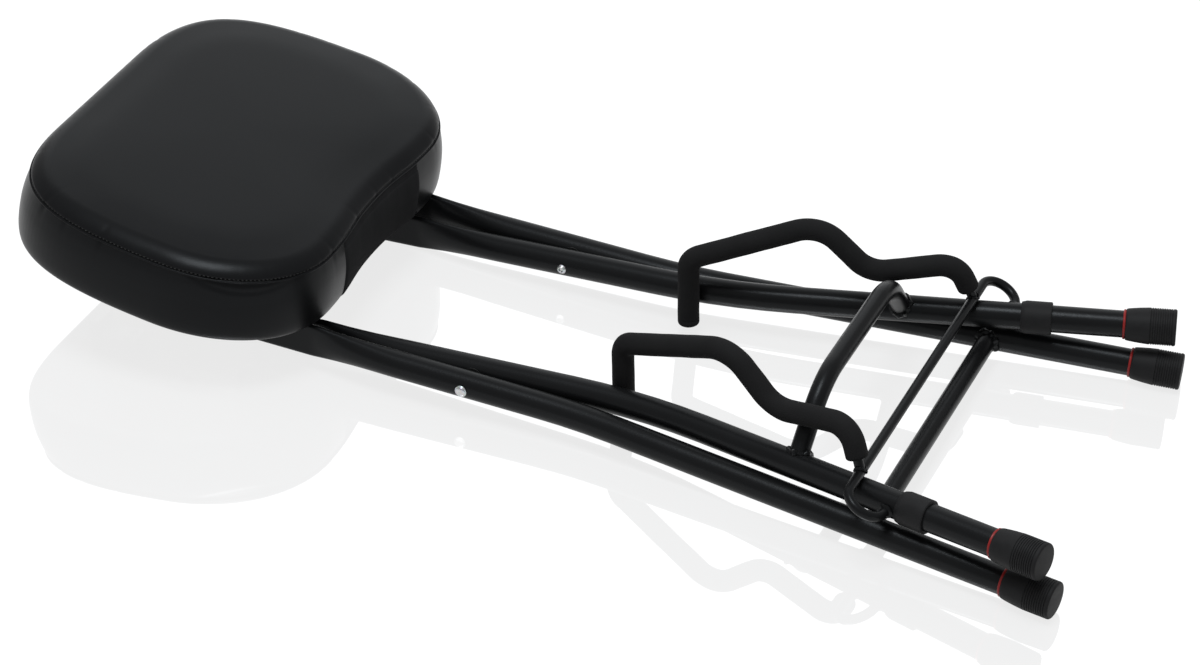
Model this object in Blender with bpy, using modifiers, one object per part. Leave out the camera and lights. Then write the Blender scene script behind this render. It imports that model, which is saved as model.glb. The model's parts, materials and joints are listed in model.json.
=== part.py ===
"""Folding stool for a guitarist, with a guitar cradle on its legs, folded flat and lying on the floor.

Two crossed leg frames of round steel tube turn on a pair of rivets. A padded seat hinges on the flattened
ends of the outer frame, and rubber-tipped feet close the other ends. A wire cradle with two foam-covered
arms swings on the inner frame. The model is in metres with +Z up, at rest in its folded pose: +X runs
along the floor to the feet, +Y to the stool's left side, and the origin is on the floor under its middle.
"""

from math import asin, atan2, ceil, cos, hypot, pi, radians, sin, sqrt, tan

import bmesh
import bpy
from mathutils import Matrix, Vector
from mathutils.geometry import interpolate_bezier

MM = 0.001

# Clearances
FIT_GAP = 0.3 * MM
RUNNING_GAP = 0.4 * MM

# Leg tube and its pressed end
TUBE_DIAMETER = 22.2 * MM
TUBE_WALL = 1.2 * MM
BLADE_THICKNESS = 5.0 * MM
BLADE_HEIGHT = 29.6 * MM
BLADE_LENGTH = 54.0 * MM
PRESS_LENGTH = 80.0 * MM

# Leg frames: lengths run along the tube from the leg rivet, and the bend turns each leg outwards
HINGE_REACH = 190.0 * MM
PIVOT_GAP = 1.0 * MM
INNER_HALF_WIDTH = 88.35 * MM
OUTER_BEND_REACH = 96.0 * MM
OUTER_SPLAY = radians(7.94)
OUTER_SHANK = 375.1 * MM
INNER_BEND_REACH = 139.9 * MM
INNER_SPLAY = radians(13.56)
INNER_SHANK = 327.7 * MM
BEND_RADIUS = 500.0 * MM
FOLD_ANGLE = radians(4.15)

# Feet and their rings
FOOT_LENGTH = 41.0 * MM
FOOT_DIAMETER = 30.0 * MM
FOOT_MOUTH_DIAMETER = 26.2 * MM
FOOT_END_WALL = 5.0 * MM
FOOT_CHAMFER = 1.6 * MM
RING_DIAMETER = 24.4 * MM
RING_WIDTH = 1.8 * MM

# Bars that join the legs
BAR_DIAMETER = 15.9 * MM
CROSSBAR_REACH = 352.0 * MM
ARCH_REACH = 282.5 * MM
ARCH_LEAN = 4.5 * MM
ARCH_RISE = 50.5 * MM
ARCH_HALF_SPAN = 75.8 * MM
ARCH_BEND_RADIUS = 58.0 * MM
LATCH_ROD_DIAMETER = 12.0 * MM

# Fasteners
RIVET_DIAMETER = 6.0 * MM
RIVET_HEAD_DIAMETER = 11.4 * MM
RIVET_HEAD_HEIGHT = 2.6 * MM
RIVET_RIM_HEIGHT = 1.2 * MM
PIVOT_WASHER_DIAMETER = 16.0 * MM
BOLT_DIAMETER = 8.0 * MM
BOLT_HEAD_DIAMETER = 15.0 * MM
BOLT_HEAD_HEIGHT = 4.4 * MM
BOLT_END = 2.0 * MM
NUT_ACROSS_FLATS = 13.0 * MM
NUT_HEIGHT = 6.5 * MM
SCREW_DIAMETER = 4.0 * MM
SCREW_HEAD_DIAMETER = 8.0 * MM
SCREW_HEAD_HEIGHT = 2.2 * MM
SCREW_BITE = 8.0 * MM

# Seat: the cushion's outline in its own plane, measured from the hinge axis, and its build-up
SEAT_TILT = radians(6.8)
SEAT_LIFT = 21.2 * MM
SEAT_FRONT = 52.5 * MM
SEAT_DEPTH = 266.5 * MM
SEAT_WIDTH = 371.0 * MM
WIDEST_SETBACK = 109.0 * MM
FRONT_HOLLOW = 6.2 * MM
FRONT_EDGE_WIDTH = 185.0 * MM
REAR_EDGE_WIDTH = 132.0 * MM
FRONT_CORNER_PULL = 57.0 * MM
REAR_CORNER_PULL = 100.5 * MM
SIDE_HEIGHT = 57.3 * MM
SIDE_SWELL = 5.0 * MM
SEAM_PINCH = 1.2 * MM
CROWN_HEIGHT = 17.0 * MM
EDGE_ROLL = 6.0 * MM
BOARD_THICKNESS = 12.0 * MM
BOARD_INSET = 12.0 * MM
NECK_PAD_WIDTH = 138.0 * MM
NECK_PAD_THICKNESS = 4.0 * MM
NECK_PAD_MARGIN = 4.0 * MM

# Seat brackets
OPEN_ANGLE = radians(50.0)
RAIL_THICKNESS = 3.0 * MM
RAIL_WIDTH = 26.0 * MM
RAIL_LENGTH = 120.0 * MM
RAIL_SCREW_SPACING = 50.0 * MM
EAR_RADIUS = 13.0 * MM
EAR_WIDTH = 46.0 * MM
SADDLE_SPACING = 120.0 * MM
SADDLE_WIDTH = 22.0 * MM
SADDLE_BACK = 11.0 * MM
SADDLE_MOUTH = 24.0 * MM
SADDLE_LIP = 9.0 * MM

# Guitar cradle: a wire rod that turns in the inner legs, and two arms welded to it
WIRE_DIAMETER = 8.0 * MM
FOAM_DIAMETER = 19.2 * MM
CRADLE_PIVOT_REACH = 367.0 * MM
ROD_SETBACK = 27.5 * MM
WIRE_ENTRY = 8.0 * MM
HOOK_STRAIGHT = 3.0 * MM
ARM_ROOT_HALF_SPAN = 134.0 * MM
LIP_HALF_SPAN = 68.3 * MM
LIP_DROP = 57.0 * MM
FOAM_START = 11.0 * MM
BUMPER_DIAMETER = 27.0 * MM
BUMPER_LENGTH = 25.0 * MM
BUMPER_SETBACK = 5.6 * MM

# The arm's corners: distance behind the cradle pivot, height over the inner frame's plane, half span, radius
ARM_SHOULDER = (40.0 * MM, 50.2 * MM, 126.3 * MM, 20.0 * MM)
ARM_DIP = (107.5 * MM, 37.6 * MM, 107.2 * MM, 28.0 * MM)
ARM_HUMP = (148.0 * MM, 77.9 * MM, 99.6 * MM, 32.0 * MM)
ARM_LIP = (250.0 * MM, 40.3 * MM, 69.0 * MM, 13.0 * MM)

# Facets: counts of sides and steps, and where the cushion's rings lie as shares of its side and crown
LEG_SIDES = 16
BAR_SIDES = 12
WIRE_SIDES = 8
FOAM_SIDES = 12
TURN_STEPS = 20
OUTLINE_STEPS = 9
PRESS_STEPS = 6
TIP_STEPS = 4
DOME_STEPS = 3
EAR_STEPS = 12
NOTCH_STEPS = 6
ARC_STEP = radians(16.0)
SHARP_ANGLE = radians(35.0)
SIDE_RINGS = ((0.25, 1.0), (0.6, 0.6), (0.94, 0.0))
CROWN_RINGS = (0.985, 0.95, 0.88, 0.74, 0.5, 0.2)
WELD = 0.01 * MM

# Sizes that follow from the ones above
TUBE_RADIUS = TUBE_DIAMETER / 2
BORE_RADIUS = TUBE_RADIUS - TUBE_WALL
SLEEVE_RADIUS = (TUBE_RADIUS + FIT_GAP) / cos(pi / TURN_STEPS)
OUTER_HALF_WIDTH = INNER_HALF_WIDTH + TUBE_DIAMETER + PIVOT_GAP
PRESS_START = PRESS_LENGTH + BLADE_LENGTH - HINGE_REACH
SADDLE_REACH = 2 * HINGE_REACH * sin(OPEN_ANGLE / 2)
WIRE_RADIUS = WIRE_DIAMETER / 2
ROD_RISE = TUBE_RADIUS + WIRE_RADIUS + FIT_GAP
HOOK_RADIUS = hypot(ROD_SETBACK, ROD_RISE) / 2

SIDES = (("left", 1), ("right", -1))
X_AXIS = Vector((1, 0, 0))
Y_AXIS = Vector((0, 1, 0))
Z_AXIS = Vector((0, 0, 1))

for old in list(bpy.data.objects):
    bpy.data.objects.remove(old, do_unlink=True)
PARTS = bpy.data.collections.new("guitar_stool")
CUTTERS = bpy.data.collections.new("cutters")
bpy.context.scene.collection.children.link(PARTS)
bpy.context.scene.collection.children.link(CUTTERS)


def finish(name, colour, roughness, metallic=0.0):
    """One Principled material."""
    made = bpy.data.materials.new(name)
    made.use_nodes = True
    shader = made.node_tree.nodes["Principled BSDF"]
    shader.inputs["Base Color"].default_value = (*colour, 1.0)
    shader.inputs["Roughness"].default_value = roughness
    shader.inputs["Metallic"].default_value = metallic
    return made


POWDER_COAT = finish("black_powder_coat", (0.012, 0.012, 0.013), 0.38)
ZINC = finish("zinc_plate", (0.56, 0.57, 0.58), 0.32, 1.0)
RUBBER = finish("black_rubber", (0.016, 0.016, 0.017), 0.62)
RED_RUBBER = finish("red_ring", (0.42, 0.03, 0.025), 0.5)
NYLON = finish("black_nylon", (0.02, 0.02, 0.02), 0.5)
PLYWOOD = finish("plywood", (0.42, 0.28, 0.16), 0.7)
LEATHERETTE = finish("black_leatherette", (0.014, 0.014, 0.015), 0.42)
SUEDE = finish("black_suede", (0.009, 0.009, 0.01), 0.95)
FOAM = finish("black_foam", (0.012, 0.012, 0.012), 0.9)


def pivot(name, parent, location, turn):
    """An empty on a hinge axis, turned about +Y from its parent."""
    made = bpy.data.objects.new(name, None)
    made.parent = parent
    made.location = location
    made.rotation_euler = (0, turn, 0)
    PARTS.objects.link(made)
    return made


def as_cutter(made):
    """Keep an object out of the model and leave it only to cut others."""
    for collection in list(made.users_collection):
        collection.objects.unlink(made)
    CUTTERS.objects.link(made)
    made.hide_render = True
    made.display_type = "WIRE"
    return made


def cut(target, cutter, operation="DIFFERENCE"):
    """One Boolean on a piece."""
    modifier = target.modifiers.new(cutter.name, "BOOLEAN")
    modifier.operation = operation
    modifier.object = cutter


def from_bmesh(name, shape, parent, material):
    """A named piece from a finished bmesh."""
    bmesh.ops.recalc_face_normals(shape, faces=shape.faces)
    data = bpy.data.meshes.new(name)
    shape.to_mesh(data)
    shape.free()
    data.materials.append(material)
    made = bpy.data.objects.new(name, data)
    made.parent = parent
    PARTS.objects.link(made)
    return made


def from_curve(name, curve, parent, material):
    """A curve made into a welded mesh."""
    drawn = bpy.data.objects.new(name + "_curve", curve)
    PARTS.objects.link(drawn)
    bpy.context.view_layer.update()
    shaped = drawn.evaluated_get(bpy.context.evaluated_depsgraph_get())
    data = bpy.data.meshes.new_from_object(shaped)
    bpy.data.objects.remove(drawn, do_unlink=True)
    shape = bmesh.new()
    shape.from_mesh(data)
    bmesh.ops.remove_doubles(shape, verts=shape.verts, dist=WELD)
    return from_bmesh(name, shape, parent, material)


def tube(name, points, radius, sides, parent, material):
    """A round bar or tube along a row of points."""
    curve = bpy.data.curves.new(name, "CURVE")
    curve.dimensions = "3D"
    curve.bevel_depth = radius
    curve.bevel_resolution = (sides - 4) // 2
    curve.use_fill_caps = True
    spline = curve.splines.new("POLY")
    spline.points.add(len(points) - 1)
    for knot, point in zip(spline.points, points):
        knot.co = (*point, 1.0)
    return from_curve(name, curve, parent, material)


def plate(name, outline, thickness, parent, material, standing=False):
    """A flat outline given a thickness about its plane; a standing plate lies in the X-Z plane."""
    curve = bpy.data.curves.new(name, "CURVE")
    curve.dimensions = "2D"
    curve.fill_mode = "BOTH"
    curve.extrude = thickness / 2
    spline = curve.splines.new("POLY")
    spline.use_cyclic_u = True
    spline.points.add(len(outline) - 1)
    for knot, point in zip(spline.points, outline):
        knot.co = (point[0], point[1], 0, 1.0)
    made = from_curve(name, curve, parent, material)
    if standing:
        made.data.transform(Matrix.Rotation(pi / 2, 4, "X"))
    return made


def turned(name, profile, parent, material, place, axis, steps=TURN_STEPS, closed=False):
    """A profile of (radius, height) spun about an axis; it runs down its outer side."""
    data = bpy.data.meshes.new(name)
    points = [(radius, 0, height) for radius, height in profile]
    edges = [(i, i + 1) for i in range(len(points) - 1)]
    if closed:
        edges.append((len(points) - 1, 0))
    data.from_pydata(points, edges, [])
    data.materials.append(material)
    made = bpy.data.objects.new(name, data)
    made.parent = parent
    made.location = place
    made.rotation_mode = "QUATERNION"
    made.rotation_quaternion = Z_AXIS.rotation_difference(Vector(axis))
    PARTS.objects.link(made)
    spin = made.modifiers.new("spin", "SCREW")
    spin.angle = 2 * pi
    spin.steps = steps
    spin.render_steps = steps
    spin.use_merge_vertices = True
    spin.merge_threshold = WELD
    spin.use_smooth_shade = True
    return made


def dome(radius, base, height):
    """A domed head's profile, from its top down to its rim."""
    turns = [pi / 2 * step / DOME_STEPS for step in range(1, DOME_STEPS + 1)]
    return [(0, base + height)] + [(radius * sin(turn), base + height * cos(turn)) for turn in turns]


def drill(name, start, end, diameter, parent):
    """A round cutter between two points."""
    return as_cutter(tube(name, (start, end), diameter / 2, LEG_SIDES, parent, ZINC))


def rounded_path(corners):
    """Points along a polyline of (point, radius), with each inner corner rounded to its radius."""
    path = [Vector(corners[0][0])]
    for before, (corner, radius), after in zip(corners, corners[1:], corners[2:]):
        corner = Vector(corner)
        back = (Vector(before[0]) - corner).normalized()
        on = (Vector(after[0]) - corner).normalized()
        turn = pi - back.angle(on)
        run = radius * tan(turn / 2)
        centre = corner + (back + on).normalized() * (radius / cos(turn / 2))
        spoke = corner + back * run - centre
        axle = spoke.cross(corner + on * run - centre).normalized()
        steps = max(2, ceil(turn / ARC_STEP))
        for step in range(steps + 1):
            path.append(centre + Matrix.Rotation(turn * step / steps, 3, axle) @ spoke)
    path.append(Vector(corners[-1][0]))
    return path


# The folded pose: the outer frame lies on its feet and on the inner frame's pressed ends
OUTER_RING_X = OUTER_BEND_REACH + OUTER_SHANK * cos(OUTER_SPLAY)
FOOT_TIP_X = OUTER_RING_X + FOOT_LENGTH * cos(OUTER_SPLAY)
REST_RUN = FOOT_TIP_X + HINGE_REACH * cos(FOLD_ANGLE)
REST_DROP = HINGE_REACH * sin(FOLD_ANGLE) - FOOT_DIAMETER / 2
REST_TILT = asin(BLADE_HEIGHT / 2 / hypot(REST_RUN, REST_DROP)) + atan2(REST_DROP, REST_RUN)

outer_frame = pivot("outer_frame", None, (0, 0, 0), REST_TILT)
leg_pivot = pivot("leg_pivot", outer_frame, (0, 0, 0), -FOLD_ANGLE)
seat_hinge = pivot("seat_hinge", outer_frame, (-HINGE_REACH, 0, 0), SEAT_TILT)
cradle_pivot = pivot("cradle_pivot", leg_pivot, (CRADLE_PIVOT_REACH, 0, 0), 0)


class Leg:
    """One leg's centre line: straight through the rivet, then bent outwards to the foot."""

    def __init__(self, side, half_width, bend_reach, splay, shank):
        self.side = side
        self.half_width = half_width
        self.bend = Vector((bend_reach, side * half_width, 0))
        self.along = Vector((cos(splay), side * sin(splay), 0))
        self.splay = splay
        self.shank = shank

    def at(self, distance):
        """A point past the bend, by its distance along the leg from the bend's corner."""
        return self.bend + self.along * distance

    def half_span(self, reach):
        """How far the centre line lies from the stool's middle, past the bend."""
        return self.half_width + (reach - self.bend.x) * tan(self.splay)

    def path(self, starts, end):
        """Points from the given places on the straight part, round the bend, to a distance past it."""
        straight = [Vector((x, self.bend.y, 0)) for x in starts]
        corners = ((straight[-1], 0), (self.bend, BEND_RADIUS), (self.at(end), 0))
        return straight[:-1] + rounded_path(corners)


OUTER_SIZES = (OUTER_HALF_WIDTH, OUTER_BEND_REACH, OUTER_SPLAY, OUTER_SHANK)
INNER_SIZES = (INNER_HALF_WIDTH, INNER_BEND_REACH, INNER_SPLAY, INNER_SHANK)
OUTER_LEGS = {name: Leg(side, *OUTER_SIZES) for name, side in SIDES}
INNER_LEGS = {name: Leg(side, *INNER_SIZES) for name, side in SIDES}
TUBE_IN_FOOT = FOOT_LENGTH - FOOT_END_WALL - FIT_GAP


def press_flat(data, leg):
    """Press the leg's end from a round tube into an upright blade with a rounded tip."""
    for vertex in data.vertices:
        pressed = min(max((PRESS_START - vertex.co.x) / PRESS_LENGTH, 0), 1)
        pressed = pressed * pressed * (3 - 2 * pressed)
        across = vertex.co.y - leg.bend.y
        height = vertex.co.z * BLADE_HEIGHT / TUBE_DIAMETER
        past_hinge = (-HINGE_REACH - vertex.co.x) / (BLADE_HEIGHT / 2)
        if past_hinge > 0:
            height *= sqrt(1 - past_hinge * past_hinge)
        flat = min(max(across, -BLADE_THICKNESS / 2), BLADE_THICKNESS / 2)
        if pressed > 0:
            vertex.co.y = leg.bend.y + across + (flat - across) * pressed
            vertex.co.z += (height - vertex.co.z) * pressed


def make_leg(name, leg, parent):
    """A leg tube, pressed at one end and bored from the other."""
    tip_turns = [pi / 2 * (TIP_STEPS - step) / (TIP_STEPS + 1) for step in range(TIP_STEPS)]
    starts = [-HINGE_REACH - BLADE_HEIGHT / 2 * sin(turn) for turn in tip_turns]
    starts.append(BLADE_LENGTH - HINGE_REACH)
    starts += [PRESS_START - PRESS_LENGTH * step / PRESS_STEPS for step in reversed(range(PRESS_STEPS))]
    made = tube(name, leg.path(starts, leg.shank + TUBE_IN_FOOT), TUBE_RADIUS, LEG_SIDES, parent, POWDER_COAT)
    press_flat(made.data, leg)
    bore_path = leg.path([PRESS_START + TUBE_WALL], leg.shank + FOOT_LENGTH)
    cut(made, as_cutter(tube(name + "_bore", bore_path, BORE_RADIUS, BAR_SIDES, parent, ZINC)))
    return made


def leg_clearance(name, leg, parent):
    """A cutter that leaves the fit gap round a leg, for bars that are welded to it."""
    path = leg.path([0], leg.shank)
    return as_cutter(tube(name + "_clearance", path, TUBE_RADIUS + FIT_GAP, LEG_SIDES, parent, ZINC))


def make_foot(name, leg, parent):
    """A rubber foot over the tube's end, and the red ring at its mouth."""
    mouth = SLEEVE_RADIUS
    end = FOOT_LENGTH
    profile = (
        (0, end),
        (FOOT_DIAMETER / 2 - FOOT_CHAMFER, end),
        (FOOT_DIAMETER / 2, end - FOOT_CHAMFER),
        (FOOT_DIAMETER / 2, end / 2),
        (FOOT_MOUTH_DIAMETER / 2, FIT_GAP + FOOT_CHAMFER / 2),
        (FOOT_MOUTH_DIAMETER / 2 - FOOT_CHAMFER / 2, FIT_GAP),
        (mouth, FIT_GAP),
        (mouth, end - FOOT_END_WALL),
        (0, end - FOOT_END_WALL),
    )
    turned(name, profile, parent, RUBBER, leg.at(leg.shank), leg.along)
    ring = (
        (RING_DIAMETER / 2, 0),
        (RING_DIAMETER / 2, -RING_WIDTH),
        (mouth, -RING_WIDTH),
        (mouth, 0),
    )
    base, side = name.rsplit("_", 1)
    turned(f"{base}_ring_{side}", ring, parent, RED_RUBBER, leg.at(leg.shank), leg.along, closed=True)


# Outer leg frame, crossbar and feet
hinge_place = X_AXIS * -HINGE_REACH
drill_reach = Y_AXIS * 2 * OUTER_HALF_WIDTH
rivet_hole = RIVET_DIAMETER + 2 * RUNNING_GAP
bolt_hole = BOLT_DIAMETER + 2 * RUNNING_GAP
rivet_drill = drill("rivet_drill", -drill_reach, drill_reach, rivet_hole, outer_frame)
bolt_drill = drill("bolt_drill", hinge_place - drill_reach, hinge_place + drill_reach, bolt_hole, outer_frame)
crossbar_half = OUTER_LEGS["left"].half_span(CROSSBAR_REACH)
crossbar_ends = [Vector((CROSSBAR_REACH, side * crossbar_half, 0)) for side in (1, -1)]
crossbar = tube("outer_crossbar", crossbar_ends, BAR_DIAMETER / 2, BAR_SIDES, outer_frame, POWDER_COAT)
for side_name, leg in OUTER_LEGS.items():
    made = make_leg(f"outer_leg_{side_name}", leg, outer_frame)
    cut(made, rivet_drill)
    cut(made, bolt_drill)
    cut(crossbar, leg_clearance(f"outer_leg_{side_name}", leg, outer_frame))
    make_foot(f"outer_foot_{side_name}", leg, outer_frame)

# Inner leg frame, arched bar, latch rod, bumpers and feet
arch_foot = INNER_LEGS["left"].half_span(ARCH_REACH)
arch_corners = (
    ((ARCH_REACH, arch_foot, 0), 0),
    ((ARCH_REACH + ARCH_LEAN, ARCH_HALF_SPAN, ARCH_RISE), ARCH_BEND_RADIUS),
    ((ARCH_REACH + ARCH_LEAN, -ARCH_HALF_SPAN, ARCH_RISE), ARCH_BEND_RADIUS),
    ((ARCH_REACH, -arch_foot, 0), 0),
)
arch_path = rounded_path(arch_corners)
arched_bar = tube("arched_bar", arch_path, BAR_DIAMETER / 2, BAR_SIDES, leg_pivot, POWDER_COAT)
bumper_profile = (
    (BUMPER_DIAMETER / 2, BUMPER_LENGTH / 2),
    (BUMPER_DIAMETER / 2, -BUMPER_LENGTH / 2),
    (SLEEVE_RADIUS, -BUMPER_LENGTH / 2),
    (SLEEVE_RADIUS, BUMPER_LENGTH / 2),
)
cradle_hole = WIRE_DIAMETER + 2 * RUNNING_GAP
for side_name, leg in INNER_LEGS.items():
    made = make_leg(f"inner_leg_{side_name}", leg, leg_pivot)
    cut(made, rivet_drill)
    pivot_half = leg.half_span(CRADLE_PIVOT_REACH)
    hole_start = (CRADLE_PIVOT_REACH, leg.side * pivot_half, 0)
    hole_end = (CRADLE_PIVOT_REACH, leg.side * (pivot_half + TUBE_DIAMETER), 0)
    cut(made, drill(f"cradle_hole_{side_name}", hole_start, hole_end, cradle_hole, leg_pivot))
    cut(arched_bar, leg_clearance(f"inner_leg_{side_name}", leg, leg_pivot))
    make_foot(f"inner_foot_{side_name}", leg, leg_pivot)
    bumper_reach = CRADLE_PIVOT_REACH + ROD_SETBACK - BUMPER_SETBACK - INNER_BEND_REACH
    bumper_place = leg.at(bumper_reach / cos(INNER_SPLAY))
    turned(f"bumper_{side_name}", bumper_profile, leg_pivot, RUBBER, bumper_place, leg.along, closed=True)
latch_half = INNER_HALF_WIDTH - BLADE_THICKNESS / 2 - FIT_GAP
latch_ends = [Vector((-HINGE_REACH, side * latch_half, 0)) for side in (1, -1)]
tube("latch_rod", latch_ends, LATCH_ROD_DIAMETER / 2, BAR_SIDES, leg_pivot, POWDER_COAT)

# Leg rivets and their washers
rivet_out = OUTER_HALF_WIDTH + TUBE_RADIUS + FIT_GAP
rivet_in = INNER_HALF_WIDTH - TUBE_RADIUS - FIT_GAP
rivet_head = dome(RIVET_HEAD_DIAMETER / 2, RIVET_RIM_HEIGHT, RIVET_HEAD_HEIGHT - RIVET_RIM_HEIGHT)
rivet_profile = [(radius, rivet_out + height) for radius, height in rivet_head]
rivet_profile += [
    (RIVET_HEAD_DIAMETER / 2, rivet_out),
    (RIVET_DIAMETER / 2, rivet_out),
    (RIVET_DIAMETER / 2, rivet_in),
    (RIVET_HEAD_DIAMETER / 2, rivet_in),
]
rivet_profile += [(radius, rivet_in - height) for radius, height in reversed(rivet_head)]
washer_hole = (RIVET_DIAMETER / 2 + RUNNING_GAP) / cos(pi / TURN_STEPS)
washer_half = PIVOT_GAP / 2 - FIT_GAP
washer_profile = (
    (PIVOT_WASHER_DIAMETER / 2, washer_half),
    (PIVOT_WASHER_DIAMETER / 2, -washer_half),
    (washer_hole, -washer_half),
    (washer_hole, washer_half),
)
washer_place = (INNER_HALF_WIDTH + OUTER_HALF_WIDTH) / 2
for side_name, side in SIDES:
    turned(f"pivot_rivet_{side_name}", rivet_profile, outer_frame, ZINC, (0, 0, 0), Y_AXIS * side)
    turned(f"pivot_washer_{side_name}", washer_profile, outer_frame, NYLON, (0, side * washer_place, 0),
           Y_AXIS * side, closed=True)


def outline_half():
    """The left half of the seat's outline at its seam, from the front's middle round to the rear's."""
    widest = SEAT_FRONT - WIDEST_SETBACK
    rear = SEAT_FRONT - SEAT_DEPTH
    front_edge = FRONT_EDGE_WIDTH / 2
    rear_edge = REAR_EDGE_WIDTH / 2
    half = SEAT_WIDTH / 2
    front_pull = front_edge / 2
    spans = (
        ((SEAT_FRONT - FRONT_HOLLOW, 0), (SEAT_FRONT - FRONT_HOLLOW, front_pull),
         (SEAT_FRONT, front_edge - front_pull), (SEAT_FRONT, front_edge)),
        ((SEAT_FRONT, front_edge), (SEAT_FRONT, front_edge + FRONT_CORNER_PULL),
         (widest + FRONT_CORNER_PULL, half), (widest, half)),
        ((widest, half), (widest - REAR_CORNER_PULL, half),
         (rear, rear_edge + REAR_CORNER_PULL), (rear, rear_edge)),
        ((rear, rear_edge), (rear, rear_edge * 2 / 3), (rear, rear_edge / 3), (rear, 0)),
    )
    counts = (OUTLINE_STEPS // 2, OUTLINE_STEPS, OUTLINE_STEPS, 2)
    points = []
    for span, count in zip(spans, counts):
        points += interpolate_bezier(*(Vector((*knot, 0)) for knot in span), count + 1)[:-1]
    return points + [Vector((rear, 0, 0))]


def seat_outline(grow=0.0):
    """The whole outline, grown outwards by a distance."""
    half = outline_half()
    mirrored = [Vector((point.x, -point.y, 0)) for point in half[-2:0:-1]]
    points = half + mirrored
    grown = []
    for index, point in enumerate(points):
        along = points[(index + 1) % len(points)] - points[index - 1]
        grown.append(point + Vector((along.y, -along.x, 0)).normalized() * grow)
    return grown


# Seat board
seat_top = SEAT_LIFT + SIDE_HEIGHT
board = plate("seat_board", seat_outline(-BOARD_INSET), BOARD_THICKNESS, seat_hinge, PLYWOOD)
board.location.z = SEAT_LIFT + BOARD_THICKNESS / 2

# Cushion: swelling sides drawn in at the seam, under a crowned top, with a pocket for the board
seat_middle = Vector((SEAT_FRONT - SEAT_DEPTH / 2, 0, 0))


def side_ring(grow, height):
    """The outline at one height of the cushion's side."""
    return [point + Z_AXIS * (SEAT_LIFT + height) for point in seat_outline(grow)]


def crown_ring(share):
    """The outline drawn in towards the middle, at the crown's height there."""
    height = seat_top + CROWN_HEIGHT * sqrt(1 - share**4)
    inset = seat_outline(-SEAM_PINCH)
    return [seat_middle + (point - seat_middle) * share + Z_AXIS * height for point in inset]


rings = [side_ring(-EDGE_ROLL, 0), side_ring(SIDE_SWELL / 3, EDGE_ROLL / 2)]
rings += [side_ring(SIDE_SWELL * swell, SIDE_HEIGHT * height) for height, swell in SIDE_RINGS]
rings.append(side_ring(-SEAM_PINCH, SIDE_HEIGHT))
rings += [crown_ring(share) for share in CROWN_RINGS]
cushion_shape = bmesh.new()
lines = [[cushion_shape.verts.new(point) for point in ring] for ring in rings]
for low, high in zip(lines, lines[1:]):
    for index in range(len(low)):
        after = (index + 1) % len(low)
        cushion_shape.faces.new((low[index], low[after], high[after], high[index]))
cushion_shape.faces.new(lines[0])
cushion_shape.faces.new(lines[-1])
cushion = from_bmesh("seat_cushion", cushion_shape, seat_hinge, LEATHERETTE)
pocket_outline = seat_outline(FIT_GAP - BOARD_INSET)
pocket = plate("board_pocket", pocket_outline, 2 * BOARD_THICKNESS, seat_hinge, LEATHERETTE)
pocket.location.z = SEAT_LIFT + FIT_GAP
cut(cushion, as_cutter(pocket))


def neck_pad(name, spread):
    """A strip across the hollow front edge, grown by a distance on every side."""
    reach = NECK_PAD_WIDTH / 2 + spread
    ahead = SEAT_FRONT - WIDEST_SETBACK
    front = [point for point in outline_half() if point.y < reach and point.x > ahead]
    edge = reach * reach / (FRONT_EDGE_WIDTH / 2) ** 2
    hollow = FRONT_HOLLOW * max(0, 1 - edge * (3 - 2 * sqrt(edge)))
    front.append(Vector((SEAT_FRONT - hollow, reach, 0)))
    line = [Vector((point.x, -point.y, 0)) for point in front[:0:-1]] + front
    face = SIDE_SWELL + FIT_GAP + spread
    outer = [point + X_AXIS * face for point in line]
    inner = [point + X_AXIS * (face - NECK_PAD_THICKNESS - 2 * spread) for point in reversed(line)]
    made = plate(name, outer + inner, SIDE_HEIGHT - 2 * NECK_PAD_MARGIN + 2 * spread, seat_hinge, SUEDE)
    made.location.z = SEAT_LIFT + SIDE_HEIGHT / 2
    return made


neck_pad("neck_rest_pad", 0)
cut(cushion, as_cutter(neck_pad("neck_pad_recess", FIT_GAP)))

# Hinge rails under the board: a flange screwed to the board and an ear beside the outer leg's blade
rail_top = SEAT_LIFT - FIT_GAP
ear_out = OUTER_HALF_WIDTH - BLADE_THICKNESS / 2 - RUNNING_GAP
ear_middle = ear_out - RAIL_THICKNESS / 2
screw_places = []
ear_outline = [Vector((-EAR_WIDTH / 2, rail_top)), Vector((-EAR_WIDTH / 2, rail_top - RAIL_THICKNESS))]
for step in range(EAR_STEPS + 1):
    turn = pi + pi * step / EAR_STEPS
    ear_outline.append(Vector((cos(turn), sin(turn))) * EAR_RADIUS)
ear_outline += [Vector((EAR_WIDTH / 2, rail_top - RAIL_THICKNESS)), Vector((EAR_WIDTH / 2, rail_top))]
rail_front = SEAT_FRONT - BOARD_INSET - FRONT_HOLLOW
rail_middle = min(rail_front, RAIL_LENGTH - EAR_WIDTH) - RAIL_LENGTH / 2
rails = []
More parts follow.
